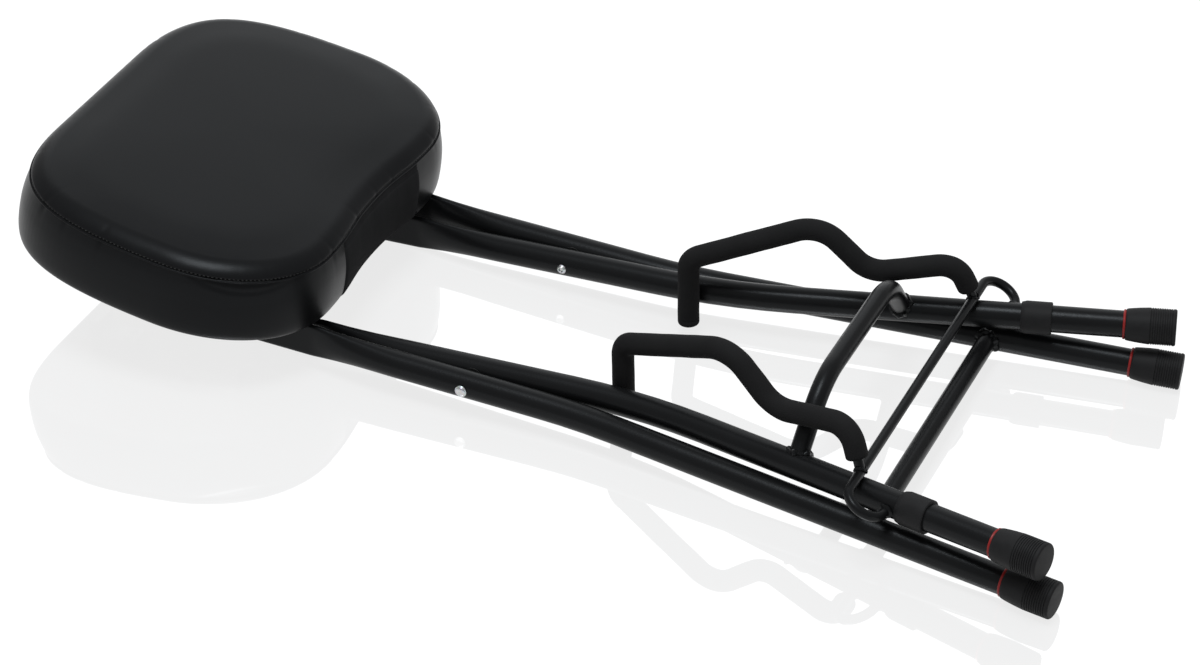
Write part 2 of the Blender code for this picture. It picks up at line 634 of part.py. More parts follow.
for side_name, side in SIDES:
    rail_name = f"seat_rail_{side_name}"
    rail = plate(rail_name, ear_outline, RAIL_THICKNESS, seat_hinge, POWDER_COAT, standing=True)
    rail.location.y = side * ear_middle
    flange_shape = bmesh.new()
    flange_size = (RAIL_LENGTH, RAIL_WIDTH, RAIL_THICKNESS)
    bmesh.ops.create_cube(flange_shape, size=1, matrix=Matrix.Diagonal((*flange_size, 1)))
    flange = from_bmesh(f"rail_flange_{side_name}", flange_shape, seat_hinge, POWDER_COAT)
    flange_y = side * (ear_out - RAIL_WIDTH / 2)
    flange.location = (rail_middle, flange_y, rail_top - RAIL_THICKNESS / 2)
    cut(rail, as_cutter(flange), "UNION")
    cut(rail, bolt_drill)
    rails.append(rail)
    screw_y = side * (ear_out - RAIL_THICKNESS - (RAIL_WIDTH - RAIL_THICKNESS) / 2)
    for place in (-RAIL_SCREW_SPACING, 0, RAIL_SCREW_SPACING):
        screw_places.append((rail_middle + place, screw_y, rail_top - RAIL_THICKNESS))

# Latch saddles: blocks under the board that drop over the inner frame's latch rod when the stool opens
notch = LATCH_ROD_DIAMETER / 2 + RUNNING_GAP
saddle_outline = [
    Vector((-SADDLE_REACH - notch - SADDLE_BACK, rail_top)),
    Vector((-SADDLE_REACH - notch - SADDLE_BACK, -SADDLE_LIP)),
    Vector((-SADDLE_REACH - notch, -SADDLE_LIP)),
]
for step in range(NOTCH_STEPS + 1):
    turn = pi - pi / 2 * step / NOTCH_STEPS
    saddle_outline.append(Vector((-SADDLE_REACH, 0)) + Vector((cos(turn), sin(turn))) * notch)
saddle_front = SADDLE_MOUTH - SADDLE_REACH
saddle_outline += [Vector((saddle_front, notch)), Vector((saddle_front, rail_top))]
saddle_screw_half = SADDLE_WIDTH / 4
saddles = []
for side_name, side in SIDES:
    saddle_name = f"latch_saddle_{side_name}"
    saddle = plate(saddle_name, saddle_outline, SADDLE_WIDTH, seat_hinge, NYLON, standing=True)
    saddle.location.y = side * SADDLE_SPACING / 2
    saddles.append(saddle)
    screw_x = -SADDLE_REACH + SADDLE_MOUTH / 2 + notch / 2
    for place in (-saddle_screw_half, saddle_screw_half):
        screw_places.append((screw_x, saddle.location.y + place, notch))

# Screws through the rails and saddles into the board
drill_shape = bmesh.new()
screw_tip = SEAT_LIFT + SCREW_BITE
for number, (x, y, seat) in enumerate(screw_places, 1):
    under = seat - FIT_GAP
    screw_profile = (
        (0, screw_tip - FIT_GAP),
        (SCREW_DIAMETER / 2, screw_tip - FIT_GAP),
        (SCREW_DIAMETER / 2, under),
        (SCREW_HEAD_DIAMETER / 2, under),
        (SCREW_HEAD_DIAMETER / 2, under - SCREW_HEAD_HEIGHT / 2),
        (SCREW_HEAD_DIAMETER / 4, under - SCREW_HEAD_HEIGHT),
        (0, under - SCREW_HEAD_HEIGHT),
    )
    turned(f"seat_screw_{number}", screw_profile, seat_hinge, ZINC, (x, y, 0), Z_AXIS, BAR_SIDES)
    hole = SCREW_DIAMETER / 2 + RUNNING_GAP
    middle = Matrix.Translation((x, y, (under + screw_tip) / 2))
    bmesh.ops.create_cone(drill_shape, cap_ends=True, segments=BAR_SIDES, radius1=hole, radius2=hole,
                          depth=screw_tip - under, matrix=middle)
screw_drill = as_cutter(from_bmesh("screw_drill", drill_shape, seat_hinge, ZINC))
for made in (board, *rails, *saddles):
    cut(made, screw_drill)

# Hinge bolts and their nuts
bolt_out = OUTER_HALF_WIDTH + BLADE_THICKNESS / 2 + FIT_GAP
nut_out = ear_out - RAIL_THICKNESS - FIT_GAP
bolt_in = nut_out - NUT_HEIGHT - BOLT_END
bolt_profile = dome(BOLT_HEAD_DIAMETER / 2, bolt_out, BOLT_HEAD_HEIGHT)
bolt_profile += [(BOLT_DIAMETER / 2, bolt_out), (BOLT_DIAMETER / 2, bolt_in), (0, bolt_in)]
nut_corner = NUT_ACROSS_FLATS / 2 / cos(pi / 6)
nut_hole = (BOLT_DIAMETER / 2 + FIT_GAP) / cos(pi / TURN_STEPS)
nut_outline = [Vector((cos(pi * step / 3), sin(pi * step / 3))) * nut_corner for step in range(6)]
for side_name, side in SIDES:
    turned(f"hinge_bolt_{side_name}", bolt_profile, outer_frame, ZINC, hinge_place, Y_AXIS * side)
    nut = plate(f"hinge_nut_{side_name}", nut_outline, NUT_HEIGHT, outer_frame, ZINC, standing=True)
    nut.location = hinge_place + Y_AXIS * side * (nut_out - NUT_HEIGHT / 2)
    nut_ends = [hinge_place + Y_AXIS * side * reach for reach in (bolt_in, bolt_out)]
    cut(nut, drill(f"nut_thread_{side_name}", *nut_ends, 2 * nut_hole, outer_frame))

# Cradle rod: across the inner legs, round in a half turn at each end, and into the legs from outside
pivot_half = INNER_LEGS["left"].half_span(CRADLE_PIVOT_REACH)
hook_entry = pivot_half + TUBE_RADIUS / cos(INNER_SPLAY) - WIRE_ENTRY
hook_turn = hook_entry + WIRE_ENTRY + HOOK_STRAIGHT
rod_place = Vector((-ROD_SETBACK, 0, ROD_RISE))
hook_steps = ceil(pi / ARC_STEP)
half_rod = [Y_AXIS * hook_entry]
for step in range(hook_steps + 1):
    turn = pi * step / hook_steps
    lean = rod_place / 2 * (1 - cos(turn))
    half_rod.append(lean + Y_AXIS * (hook_turn + HOOK_RADIUS * sin(turn)))
other_rod = [Vector((point.x, -point.y, point.z)) for point in reversed(half_rod)]
tube("cradle_rod", half_rod + other_rod, WIRE_RADIUS, WIRE_SIDES, cradle_pivot, POWDER_COAT)


def arm_corners(side):
    """The arm's corners with their radii, from the rod to the lip's end."""
    corners = []
    for setback, rise, half_span, radius in (ARM_SHOULDER, ARM_DIP, ARM_HUMP, ARM_LIP):
        corners.append((Vector((-setback, side * half_span, rise)), radius))
    lip_end = Vector((-ARM_LIP[0], side * LIP_HALF_SPAN, ARM_LIP[1] - LIP_DROP))
    return corners + [(lip_end, 0)]


def arm_path(side, start, over=0.0):
    """The arm's centre line from a distance past its root on the rod, to a little over its lip's end."""
    corners = arm_corners(side)
    root = rod_place + Y_AXIS * side * ARM_ROOT_HALF_SPAN
    rise = (corners[0][0] - root).normalized()
    lip_way = (corners[-1][0] - corners[-2][0]).normalized()
    ends = (root + rise * start, corners[-1][0] + lip_way * over)
    return rounded_path([(ends[0], 0), *corners[:-1], (ends[1], 0)])


# Arms: a wire from the rod's top to the lip, in a foam sleeve
rod_ends = [rod_place + Y_AXIS * side * hook_turn for side in (1, -1)]
rod_clearance = drill("rod_clearance", *rod_ends, WIRE_DIAMETER + 2 * FIT_GAP, cradle_pivot)
sleeve_bore = (WIRE_RADIUS + FIT_GAP) / cos(pi / WIRE_SIDES)
foam_end = WIRE_RADIUS
for side_name, side in SIDES:
    wire_path = arm_path(side, 0)
    wire = tube(f"arm_wire_{side_name}", wire_path, WIRE_RADIUS, WIRE_SIDES, cradle_pivot, POWDER_COAT)
    cut(wire, rod_clearance)
    foam_path = arm_path(side, FOAM_START, foam_end)
    foam = tube(f"arm_foam_{side_name}", foam_path, FOAM_DIAMETER / 2, FOAM_SIDES, cradle_pivot, FOAM)
    bore_path = arm_path(side, 0, FIT_GAP)
    bore = tube(f"arm_bore_{side_name}", bore_path, sleeve_bore, WIRE_SIDES, cradle_pivot, FOAM)
    cut(foam, as_cutter(bore))

# Rest the folded stool on the floor, with the origin under its middle
bpy.context.view_layer.update()
depsgraph = bpy.context.evaluated_depsgraph_get()
corners = []
for made in PARTS.objects:
    if made.type == "MESH":
        shaped = made.evaluated_get(depsgraph)
        corners += [shaped.matrix_world @ vertex.co for vertex in shaped.data.vertices]
        made.data.shade_smooth()
        made.data.set_sharp_from_angle(angle=SHARP_ANGLE)
low = Vector([min(corner[axis] for corner in corners) for axis in range(3)])
high = Vector([max(corner[axis] for corner in corners) for axis in range(3)])
outer_frame.location -= Vector(((low.x + high.x) / 2, (low.y + high.y) / 2, low.z))
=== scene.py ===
"""A folding guitar stool, folded flat on a pale floor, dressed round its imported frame.

Bent tubes, welds, rubber, foam and upholstery are modelled here in metres, in the frame's own axes:
+X runs to the feet, +Y to the stool's left side and +Z up.
"""

import json
from math import atan2, ceil, cos, exp, hypot, pi, radians, sin, sqrt, tan

import bmesh
import bpy
from mathutils import Matrix, Vector, noise
from mathutils.bvhtree import BVHTree
from mathutils.geometry import interpolate_bezier
from mathutils.kdtree import KDTree


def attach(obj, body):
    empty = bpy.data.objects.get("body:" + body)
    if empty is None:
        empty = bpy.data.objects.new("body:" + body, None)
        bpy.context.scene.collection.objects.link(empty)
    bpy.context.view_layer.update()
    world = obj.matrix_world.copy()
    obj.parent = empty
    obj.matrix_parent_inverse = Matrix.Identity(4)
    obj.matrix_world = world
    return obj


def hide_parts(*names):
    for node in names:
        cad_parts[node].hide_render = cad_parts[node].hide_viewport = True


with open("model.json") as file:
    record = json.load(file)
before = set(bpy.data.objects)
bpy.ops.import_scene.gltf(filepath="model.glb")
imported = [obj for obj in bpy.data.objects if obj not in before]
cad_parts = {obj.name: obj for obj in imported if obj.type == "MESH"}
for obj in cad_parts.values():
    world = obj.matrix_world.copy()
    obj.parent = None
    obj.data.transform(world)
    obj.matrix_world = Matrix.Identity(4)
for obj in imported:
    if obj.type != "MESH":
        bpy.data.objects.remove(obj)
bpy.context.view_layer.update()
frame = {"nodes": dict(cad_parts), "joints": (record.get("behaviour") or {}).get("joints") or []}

scene = bpy.context.scene
scene.view_settings.view_transform = "Standard"

# Camera
# A long lens looks down on the stool from beyond its near side, towards the seat, with a slight roll.
CAMERA_PLACE = (1.0070, -2.4731, 1.7825)
CAMERA_TURN = (radians(56.606), radians(-1.814), radians(23.083))
CAMERA_LENS = 118.3
SENSOR_WIDTH = 36.0
camera = bpy.data.objects.new("camera", bpy.data.cameras.new("camera"))
camera.data.sensor_fit = "HORIZONTAL"
camera.data.sensor_width = SENSOR_WIDTH
camera.data.lens = CAMERA_LENS
camera.location = CAMERA_PLACE
camera.rotation_euler = CAMERA_TURN
scene.collection.objects.link(camera)
scene.camera = camera

# Floor
# A wide sheet of polished white studio board, which shows a faint reflection under a soft shadow.
FLOOR_HALF_WIDTH = 30.0
FLOOR_COLOUR = (0.14, 0.14, 0.14, 1.0)
FLOOR_GLOSS = {"Roughness": 0.02, "IOR": 2.0, "Specular IOR Level": 1.0}
FLOOR_GLOW = 0.79
BLACK = (0.0, 0.0, 0.0)
WHITE = (1.0, 1.0, 1.0)


class Reading:
    """A shader value that takes part in Python arithmetic by adding Math nodes to its finish."""

    def __init__(self, finish, output):
        self.finish = finish
        self.output = output

    def math(self, operation, first, second):
        return self.finish.node("Math", {"operation": operation}, {0: first, 1: second})

    def __add__(self, other):
        return self.math("ADD", self, other)

    def __mul__(self, other):
        return self.math("MULTIPLY", self, other)

    __radd__ = __add__
    __rmul__ = __mul__


class Finish:
    """A procedural material: one Principled shader and the nodes that feed it."""

    def __init__(self, name, constants):
        self.material = bpy.data.materials.new(name)
        self.material.use_nodes = True
        self.tree = self.material.node_tree
        self.shader = self.tree.nodes["Principled BSDF"]
        for socket, value in constants.items():
            self.shader.inputs[socket].default_value = value

    def feed(self, socket, value):
        """Link a reading to a socket, or set a plain value on it."""
        if isinstance(value, Reading):
            self.tree.links.new(value.output, socket)
        else:
            socket.default_value = value

    def node(self, kind, settings, inputs, output=0):
        """Add one node, with its settings first and then its sockets, and read one of its outputs."""
        made = self.tree.nodes.new("ShaderNode" + kind)
        for name, value in settings.items():
            setattr(made, name, value)
        for name, value in inputs.items():
            self.feed(made.inputs[name], value)
        return Reading(self, made.outputs[output])

    def place(self):
        """Object coordinates, in metres."""
        return self.node("TexCoord", {}, {}, "Object")

    def cloud(self, place, grain, detail=2.0):
        """Noise whose blotches are about a grain's length across."""
        return self.node("TexNoise", {}, {"Vector": place, "Scale": 1 / grain, "Detail": detail})

    def blend(self, share, *colours):
        """A colour between two, by a share. A plain colour is its red, green and blue."""
        first, second = (colour if isinstance(colour, Reading) else (*colour, 1.0) for colour in colours)
        return self.node("Mix", {"data_type": "RGBA"}, {0: share, 6: first, 7: second}, 2)

    def spread(self, value, low, high, start, end):
        """A value's range from low to high laid smoothly onto start to end."""
        sockets = {0: value, 1: low, 2: high, 3: start, 4: end}
        return self.node("MapRange", {"interpolation_type": "SMOOTHSTEP"}, sockets)

    def relief(self, height, depth):
        """A bump of a real depth, for the Normal socket."""
        return self.node("Bump", {}, {"Height": height, "Distance": depth, "Strength": 1.0})

    def wear(self, **feeds):
        """Feed the shader's sockets by their names in small letters, such as base_color."""
        for name, value in feeds.items():
            self.feed(self.shader.inputs[name.replace("_", " ").title()], value)


board = Finish("studio_board", FLOOR_GLOSS)
seen = 0.0
for kind in ("Camera", "Glossy", "Transmission"):
    seen = seen + board.node("LightPath", {}, {}, f"Is {kind} Ray")
board.wear(
    base_color=FLOOR_COLOUR,
    emission_strength=FLOOR_GLOW,
    emission_color=board.blend(seen, BLACK, WHITE),
)
floor_shape = bmesh.new()
bmesh.ops.create_grid(floor_shape, x_segments=1, y_segments=1, size=FLOOR_HALF_WIDTH)
floor_mesh = bpy.data.meshes.new("floor")
floor_shape.to_mesh(floor_mesh)
floor_shape.free()
floor_mesh.materials.append(board.material)
floor = bpy.data.objects.new("floor", floor_mesh)
scene.collection.objects.link(floor)

# Lamps
# A bright softbox overhead and a broad, weak screen behind the stool, in a pale grey room.
ROOM_STRENGTH = 0.42
LAMPS = (
    ("overhead", (-0.05, -0.55, 2.7), 0.9, 34.0),
    ("screen", (-1.8, 4.2, 2.6), 5.0, 42.0),
)
LAMP_COLOUR = (0.93, 0.97, 1.0)
LAMP_AIM = Vector((0.0, 0.0, 0.05))
for lamp_name, lamp_place, lamp_size, lamp_power in LAMPS:
    light = bpy.data.lights.new(lamp_name, "AREA")
    light.shape = "SQUARE"
    light.size = lamp_size
    light.energy = lamp_power
    light.color = LAMP_COLOUR
    lamp = bpy.data.objects.new(lamp_name, light)
    lamp.location = lamp_place
    lamp.rotation_euler = (LAMP_AIM - lamp.location).to_track_quat("-Z", "Y").to_euler()
    scene.collection.objects.link(lamp)
room = bpy.data.worlds.new("room")
room.use_nodes = True
room.node_tree.nodes["Background"].inputs["Color"].default_value = (*WHITE, 1.0)
room.node_tree.nodes["Background"].inputs["Strength"].default_value = ROOM_STRENGTH
scene.world = room

# Outer legs
# Two lengths of 22.2 mm steel tube, bent outwards below the rivet and pressed flat at the seat end,
# where the seat's bolts go through. Powder-coated black.
MM = 0.001
TUBE_RADIUS = 11.1 * MM
TUBE_SIDES = 40
BEND_STEP = radians(3.0)
SHARP_ANGLE = radians(40.0)
HINGE_REACH = 190.0 * MM
BLADE_HALF_THICKNESS = 2.5 * MM
BLADE_HALF_HEIGHT = 14.8 * MM
BLADE_LENGTH = 54.0 * MM
PRESS_LENGTH = 80.0 * MM
PRESS_RINGS = 48
PRESS_EASE = 1.8
PRESS_BUNCH = 0.5
LEG_BEND_RADIUS = 500.0 * MM
TUBE_IN_FOOT = 35.6 * MM
OUTER_HALF_WIDTH = 111.55 * MM
OUTER_BEND_REACH = 96.0 * MM
OUTER_SPLAY = radians(7.94)
OUTER_SHANK = 375.1 * MM
SIDES = (("left", 1), ("right", -1))
X_AXIS = Vector((1, 0, 0))
Y_AXIS = Vector((0, 1, 0))
COAT_COLOURS = ((0.0055, 0.0056, 0.006), (0.009, 0.0092, 0.0098))
COOL_GLOSS = (0.93, 0.97, 1.0, 1.0)

joints = {joint["name"]: joint for joint in frame["joints"]}
rivet_axis = Vector(joints["leg_fold"]["pos_m"])
hinge_axis = Vector(joints["seat_fold"]["pos_m"])


def frame_at(place, ahead):
    """A frame at a place, with its X axis ahead and its Y axis level across the stool."""
    ahead = ahead.normalized()
    turn = Matrix((ahead, Y_AXIS, ahead.cross(Y_AXIS))).transposed().to_4x4()
    return Matrix.Translation(place) @ turn


OUTER_FRAME = frame_at(rivet_axis, rivet_axis - hinge_axis)


def powder_coat():
    """Satin black powder coat: a fine orange peel, and a slow drift in its gloss."""
    paint = Finish("black_powder_coat", {"Specular IOR Level": 0.17, "Specular Tint": COOL_GLOSS})
    place = paint.place()
    drift = paint.cloud(place, grain=60 * MM, detail=3.0)
    peel = paint.cloud(place, grain=1.5 * MM, detail=1.0)
    paint.wear(
        base_color=paint.blend(drift, *COAT_COLOURS),
        roughness=0.26 + drift * 0.08 + peel * 0.05,
        normal=paint.relief(peel, depth=0.06 * MM),
    )
    return paint


coat = powder_coat()


class Tube:
    """A round tube or bar, grown from one ring: straight runs are extruded and bends are spun."""

    def __init__(self, place, ahead, radius, sides=TUBE_SIDES):
        self.shape = bmesh.new()
        self.place = Vector(place)
        self.radius = radius
        turn = Vector(ahead).to_track_quat("Z", "Y").to_matrix().to_4x4()
        seat = Matrix.Translation(self.place) @ turn
        self.hold(bmesh.ops.create_circle(self.shape, segments=sides, radius=radius, matrix=seat)["verts"])

    def hold(self, grown):
        """Keep the newest ring: its vertices and the edges between them."""
        self.ring = [item for item in grown if isinstance(item, bmesh.types.BMVert)]
        fresh = set(self.ring)
        nearby = dict.fromkeys(edge for vertex in self.ring for edge in vertex.link_edges)
        self.edges = [edge for edge in nearby if fresh.issuperset(edge.verts)]

    def run(self, end, rings=1):
        """Extrude straight on to a point, in a number of rings."""
        step = (Vector(end) - self.place) / rings
        for _ in range(rings):
            self.hold(bmesh.ops.extrude_edge_only(self.shape, edges=self.edges)["geom"])
            bmesh.ops.translate(self.shape, verts=self.ring, vec=step)
        self.place = Vector(end)

    def sweep(self, centre, axle, turn):
        """Spin the ring about an axle."""
        steps = max(2, ceil(turn / BEND_STEP))
        spun = bmesh.ops.spin(self.shape, geom=self.ring + self.edges, cent=centre, axis=axle, angle=turn,
                              steps=steps, use_merge=False)
        self.hold(spun["geom_last"])
        self.place = centre + Matrix.Rotation(turn, 3, axle) @ (self.place - centre)

    def corner(self, corner, onward, radius, ring_gap=None):
        """Run up to a rounded corner and round it, towards the next point."""
        corner = Vector(corner)
        back = (self.place - corner).normalized()
        ahead = (Vector(onward) - corner).normalized()
        turn = pi - back.angle(ahead)
        start = corner + back * radius * tan(turn / 2)
        rings = max(1, round((start - self.place).length / ring_gap)) if ring_gap else 1
        self.run(start, rings)
        centre = corner + (back + ahead).normalized() * radius / cos(turn / 2)
        self.sweep(centre, ahead.cross(back).normalized(), turn)

    def widen(self, radius):
        """Scale the newest ring to a radius."""
        share = radius / self.radius
        bmesh.ops.scale(self.shape, vec=(share, share, share), space=Matrix.Translation(-self.place),
                        verts=self.ring)
        self.radius = radius

    def close(self):
        """Fill both ends."""
        rims = [edge for edge in self.shape.edges if edge.is_boundary]
        bmesh.ops.holes_fill(self.shape, edges=rims, sides=0)
        return self.shape


def add_piece(name, shape, finish, place, body, slot, *nodes):
    """Put a finished shape in its place, as an object that rides on a body and stands for CAD nodes."""
    bmesh.ops.recalc_face_normals(shape, faces=shape.faces)
    bmesh.ops.transform(shape, matrix=place, verts=shape.verts)
    data = bpy.data.meshes.new(name)
    shape.to_mesh(data)
    shape.free()
    data.materials.append(finish.material)
    data.shade_smooth()
    data.set_sharp_from_angle(angle=SHARP_ANGLE)
    piece = bpy.data.objects.new(name, data)
    scene.collection.objects.link(piece)
    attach(piece, body)
    if nodes:
        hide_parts(*nodes)
    return piece


def blade_point(turn):
    """Where a point of the round tube, by its turn from the top, goes on the pressed blade."""
    cap = BLADE_HALF_THICKNESS * pi / 2
    flat = BLADE_HALF_HEIGHT - BLADE_HALF_THICKNESS
    length = (cap + flat) * min(turn, pi - turn) / (pi / 2)
    up = 1 if turn < pi / 2 else -1
    if length < cap:
        round_turn = length / BLADE_HALF_THICKNESS
        return BLADE_HALF_THICKNESS * sin(round_turn), up * (flat + BLADE_HALF_THICKNESS * cos(round_turn))
    return BLADE_HALF_THICKNESS, up * (flat + cap - length)


def press_blade(vertices, middle):
    """Press one end of a leg, which runs along X at a half width, into an upright blade with a round tip."""
    press_start = PRESS_LENGTH + BLADE_LENGTH - HINGE_REACH
    for vertex in vertices:
        share = min(max((press_start - vertex.co.x) / PRESS_LENGTH, 0), 1)
        if share == 0:
            continue
        share = share**PRESS_EASE
        across = vertex.co.y - middle
        flat_across, flat_height = blade_point(atan2(abs(across), vertex.co.z))
        past = min((-HINGE_REACH - vertex.co.x) / BLADE_HALF_HEIGHT, 1)
        if past > 0:
            flat_height *= sqrt(1 - past * past)
        flat_across = flat_across if across > 0 else -flat_across
        vertex.co.y += (flat_across - across) * share
        vertex.co.z += (flat_height - vertex.co.z) * share


def leg_line(side, half_width, bend_reach, splay):
    """A leg's bend corner and the way it runs past it."""
    return Vector((bend_reach, side * half_width, 0)), Vector((cos(splay), side * sin(splay), 0))


def leg_shape(side, half_width, bend_reach, splay, shank):
    """One leg from the blade's tip to its end inside the foot."""
    bend, along = leg_line(side, half_width, bend_reach, splay)
    tip = -HINGE_REACH - BLADE_HALF_HEIGHT
    press_start = PRESS_LENGTH + BLADE_LENGTH - HINGE_REACH
    end = bend + along * (shank + TUBE_IN_FOOT)
    tube = Tube((tip, bend.y, 0), X_AXIS, TUBE_RADIUS)
    for step in range(1, PRESS_RINGS + 1):
        way = step / PRESS_RINGS
        tube.run((tip + (press_start - tip) * way * (1 - PRESS_BUNCH + PRESS_BUNCH * way), bend.y, 0))
    tube.corner(bend, end, LEG_BEND_RADIUS)
    tube.run(end)
    press_blade(tube.shape.verts, bend.y)
    return tube.close()


for side_name, side in SIDES:
    shape = leg_shape(side, OUTER_HALF_WIDTH, OUTER_BEND_REACH, OUTER_SPLAY, OUTER_SHANK)
    node = f"outer_leg_{side_name}"
    add_piece(node + "_tube", shape, coat, OUTER_FRAME, "outer_frame", "powder_coat", node)

# Crossbar
# A straight 15.9 mm steel tube between the outer legs, welded all round at both ends and powder-coated
# with them.
BAR_RADIUS = 7.95 * MM
CROSSBAR_REACH = 352.0 * MM
BEAD_RADIUS = 2.7 * MM
BEAD_SIDES = 10
BEAD_RIPPLES = 11
BEAD_STEPS = 120
BEAD_RIPPLE = 0.10
BEAD_LUMP = 0.75
BEAD_LUMPS_PER_METRE = 170
BEAD_SPATTER = 0.35
BEAD_SPECKS_PER_METRE = 520
BAR_IN_TUBE = 2.0 * MM
MERGE_GAP = 0.01 * MM
Z_AXIS = Vector((0, 0, 1))


def weld_bead(foot, bar_way, tube_way, bar_radius, tube_radius, bead=BEAD_RADIUS, seed=0.0):
    """A rippled bead round a bar's foot: a ring spun about the bar, laid on the tube's round and lumped."""
    shape = bmesh.new()
    upright = Matrix.Translation((bar_radius, 0, 0)) @ Matrix.Rotation(pi / 2, 4, "X")
    section = bmesh.ops.create_circle(shape, segments=BEAD_SIDES, radius=bead, matrix=upright)["verts"]
    edges = list(dict.fromkeys(edge for vertex in section for edge in vertex.link_edges))
    bmesh.ops.spin(shape, geom=section + edges, cent=(0, 0, 0), axis=Z_AXIS, angle=2 * pi, steps=BEAD_STEPS,
                   use_merge=True)
    bmesh.ops.remove_doubles(shape, verts=shape.verts, dist=MERGE_GAP)
    for vertex in shape.verts:
        turn = atan2(vertex.co.y, vertex.co.x)
        spine = Vector((cos(turn), sin(turn), 0)) * bar_radius
        lump = BEAD_RIPPLE * sin(BEAD_RIPPLES * turn)
        lump += BEAD_LUMP * noise.noise(vertex.co * BEAD_LUMPS_PER_METRE + Vector((seed, 0, 0)))
        lump += BEAD_SPATTER * noise.noise(vertex.co * BEAD_SPECKS_PER_METRE + Vector((0, seed, 0)))
        lift = sqrt(max(tube_radius**2 - spine.y**2, 0))
        vertex.co = spine + (vertex.co - spine) * (1 + lump) + Z_AXIS * lift
    side_way = bar_way.cross(tube_way).normalized()
    turn = Matrix((side_way.cross(bar_way), side_way, bar_way.normalized())).transposed().to_4x4()
    bmesh.ops.transform(shape, matrix=Matrix.Translation(foot) @ turn, verts=shape.verts)
    return shape


def half_span(half_width, bend_reach, splay, reach):
    """How far a leg's line lies from the stool's middle, past its bend."""
    return half_width + (reach - bend_reach) * tan(splay)


crossbar_span = half_span(OUTER_HALF_WIDTH, OUTER_BEND_REACH, OUTER_SPLAY, CROSSBAR_REACH)
crossbar_end = crossbar_span - TUBE_RADIUS + BAR_IN_TUBE
bar = Tube((CROSSBAR_REACH, -crossbar_end, 0), Y_AXIS, BAR_RADIUS)
bar.run((CROSSBAR_REACH, crossbar_end, 0))
shape = bar.close()
add_piece("outer_crossbar_tube", shape, coat, OUTER_FRAME, "outer_frame", "powder_coat", "outer_crossbar")
for side_name, side in SIDES:
    tube_way = leg_line(side, OUTER_HALF_WIDTH, OUTER_BEND_REACH, OUTER_SPLAY)[1]
    foot = Vector((CROSSBAR_REACH, side * crossbar_span, 0))
    shape = weld_bead(foot, -Y_AXIS * side, tube_way, BAR_RADIUS, TUBE_RADIUS, seed=side)
    add_piece(f"crossbar_weld_{side_name}", shape, coat, OUTER_FRAME, "outer_frame", "powder_coat")

# Inner legs
# The same tube as the outer legs, closer together and bent out a little more, pressed flat at the seat end.
INNER_HALF_WIDTH = 88.35 * MM
INNER_BEND_REACH = 139.9 * MM
INNER_SPLAY = radians(13.56)
INNER_SHANK = 327.7 * MM
cradle_axis = Vector(joints["cradle_swing"]["pos_m"])
INNER_FRAME = frame_at(rivet_axis, cradle_axis - rivet_axis)
for side_name, side in SIDES:
    shape = leg_shape(side, INNER_HALF_WIDTH, INNER_BEND_REACH, INNER_SPLAY, INNER_SHANK)
    node = f"inner_leg_{side_name}"
    add_piece(node + "_tube", shape, coat, INNER_FRAME, "inner_frame", "powder_coat", node)

# Arched bar
# A 15.9 mm steel tube bent up between the inner legs, which it holds apart. It is welded to their tops and
# powder-coated with them.
ARCH_REACH = 282.5 * MM
ARCH_LEAN = 4.5 * MM
ARCH_RISE = 50.5 * MM
ARCH_HALF_SPAN = 75.8 * MM
ARCH_BEND_RADIUS = 58.0 * MM
arch_span = half_span(INNER_HALF_WIDTH, INNER_BEND_REACH, INNER_SPLAY, ARCH_REACH)
arch_feet = [Vector((ARCH_REACH, side * arch_span, 0)) for side in (-1, 1)]
arch_tops = [Vector((ARCH_REACH + ARCH_LEAN, side * ARCH_HALF_SPAN, ARCH_RISE)) for side in (-1, 1)]
arch_ways = [(top - foot).normalized() for top, foot in zip(arch_tops, arch_feet)]
arch_ends = [foot + way * (TUBE_RADIUS - BAR_IN_TUBE) for foot, way in zip(arch_feet, arch_ways)]
bar = Tube(arch_ends[0], arch_ways[0], BAR_RADIUS)
bar.corner(arch_tops[0], arch_tops[1], ARCH_BEND_RADIUS)
bar.corner(arch_tops[1], arch_ends[1], ARCH_BEND_RADIUS)
bar.run(arch_ends[1])
add_piece("arched_bar_tube", bar.close(), coat, INNER_FRAME, "inner_frame", "powder_coat", "arched_bar")
for (side_name, side), foot, way in zip(reversed(SIDES), arch_feet, arch_ways):
    tube_way = leg_line(side, INNER_HALF_WIDTH, INNER_BEND_REACH, INNER_SPLAY)[1]
    shape = weld_bead(foot, way, tube_way, BAR_RADIUS, TUBE_RADIUS, seed=2 + side)
    add_piece(f"arch_weld_{side_name}", shape, coat, INNER_FRAME, "inner_frame", "powder_coat")

# Latch rod
# A 12 mm steel rod welded between the inner legs' blades, which the seat's saddles drop over.
LATCH_RADIUS = 6.0 * MM
latch_end = INNER_HALF_WIDTH - BLADE_HALF_THICKNESS
rod = Tube((-HINGE_REACH, -latch_end, 0), Y_AXIS, LATCH_RADIUS)
rod.run((-HINGE_REACH, latch_end, 0))
add_piece("latch_rod_bar", rod.close(), coat, INNER_FRAME, "inner_frame", "powder_coat", "latch_rod")

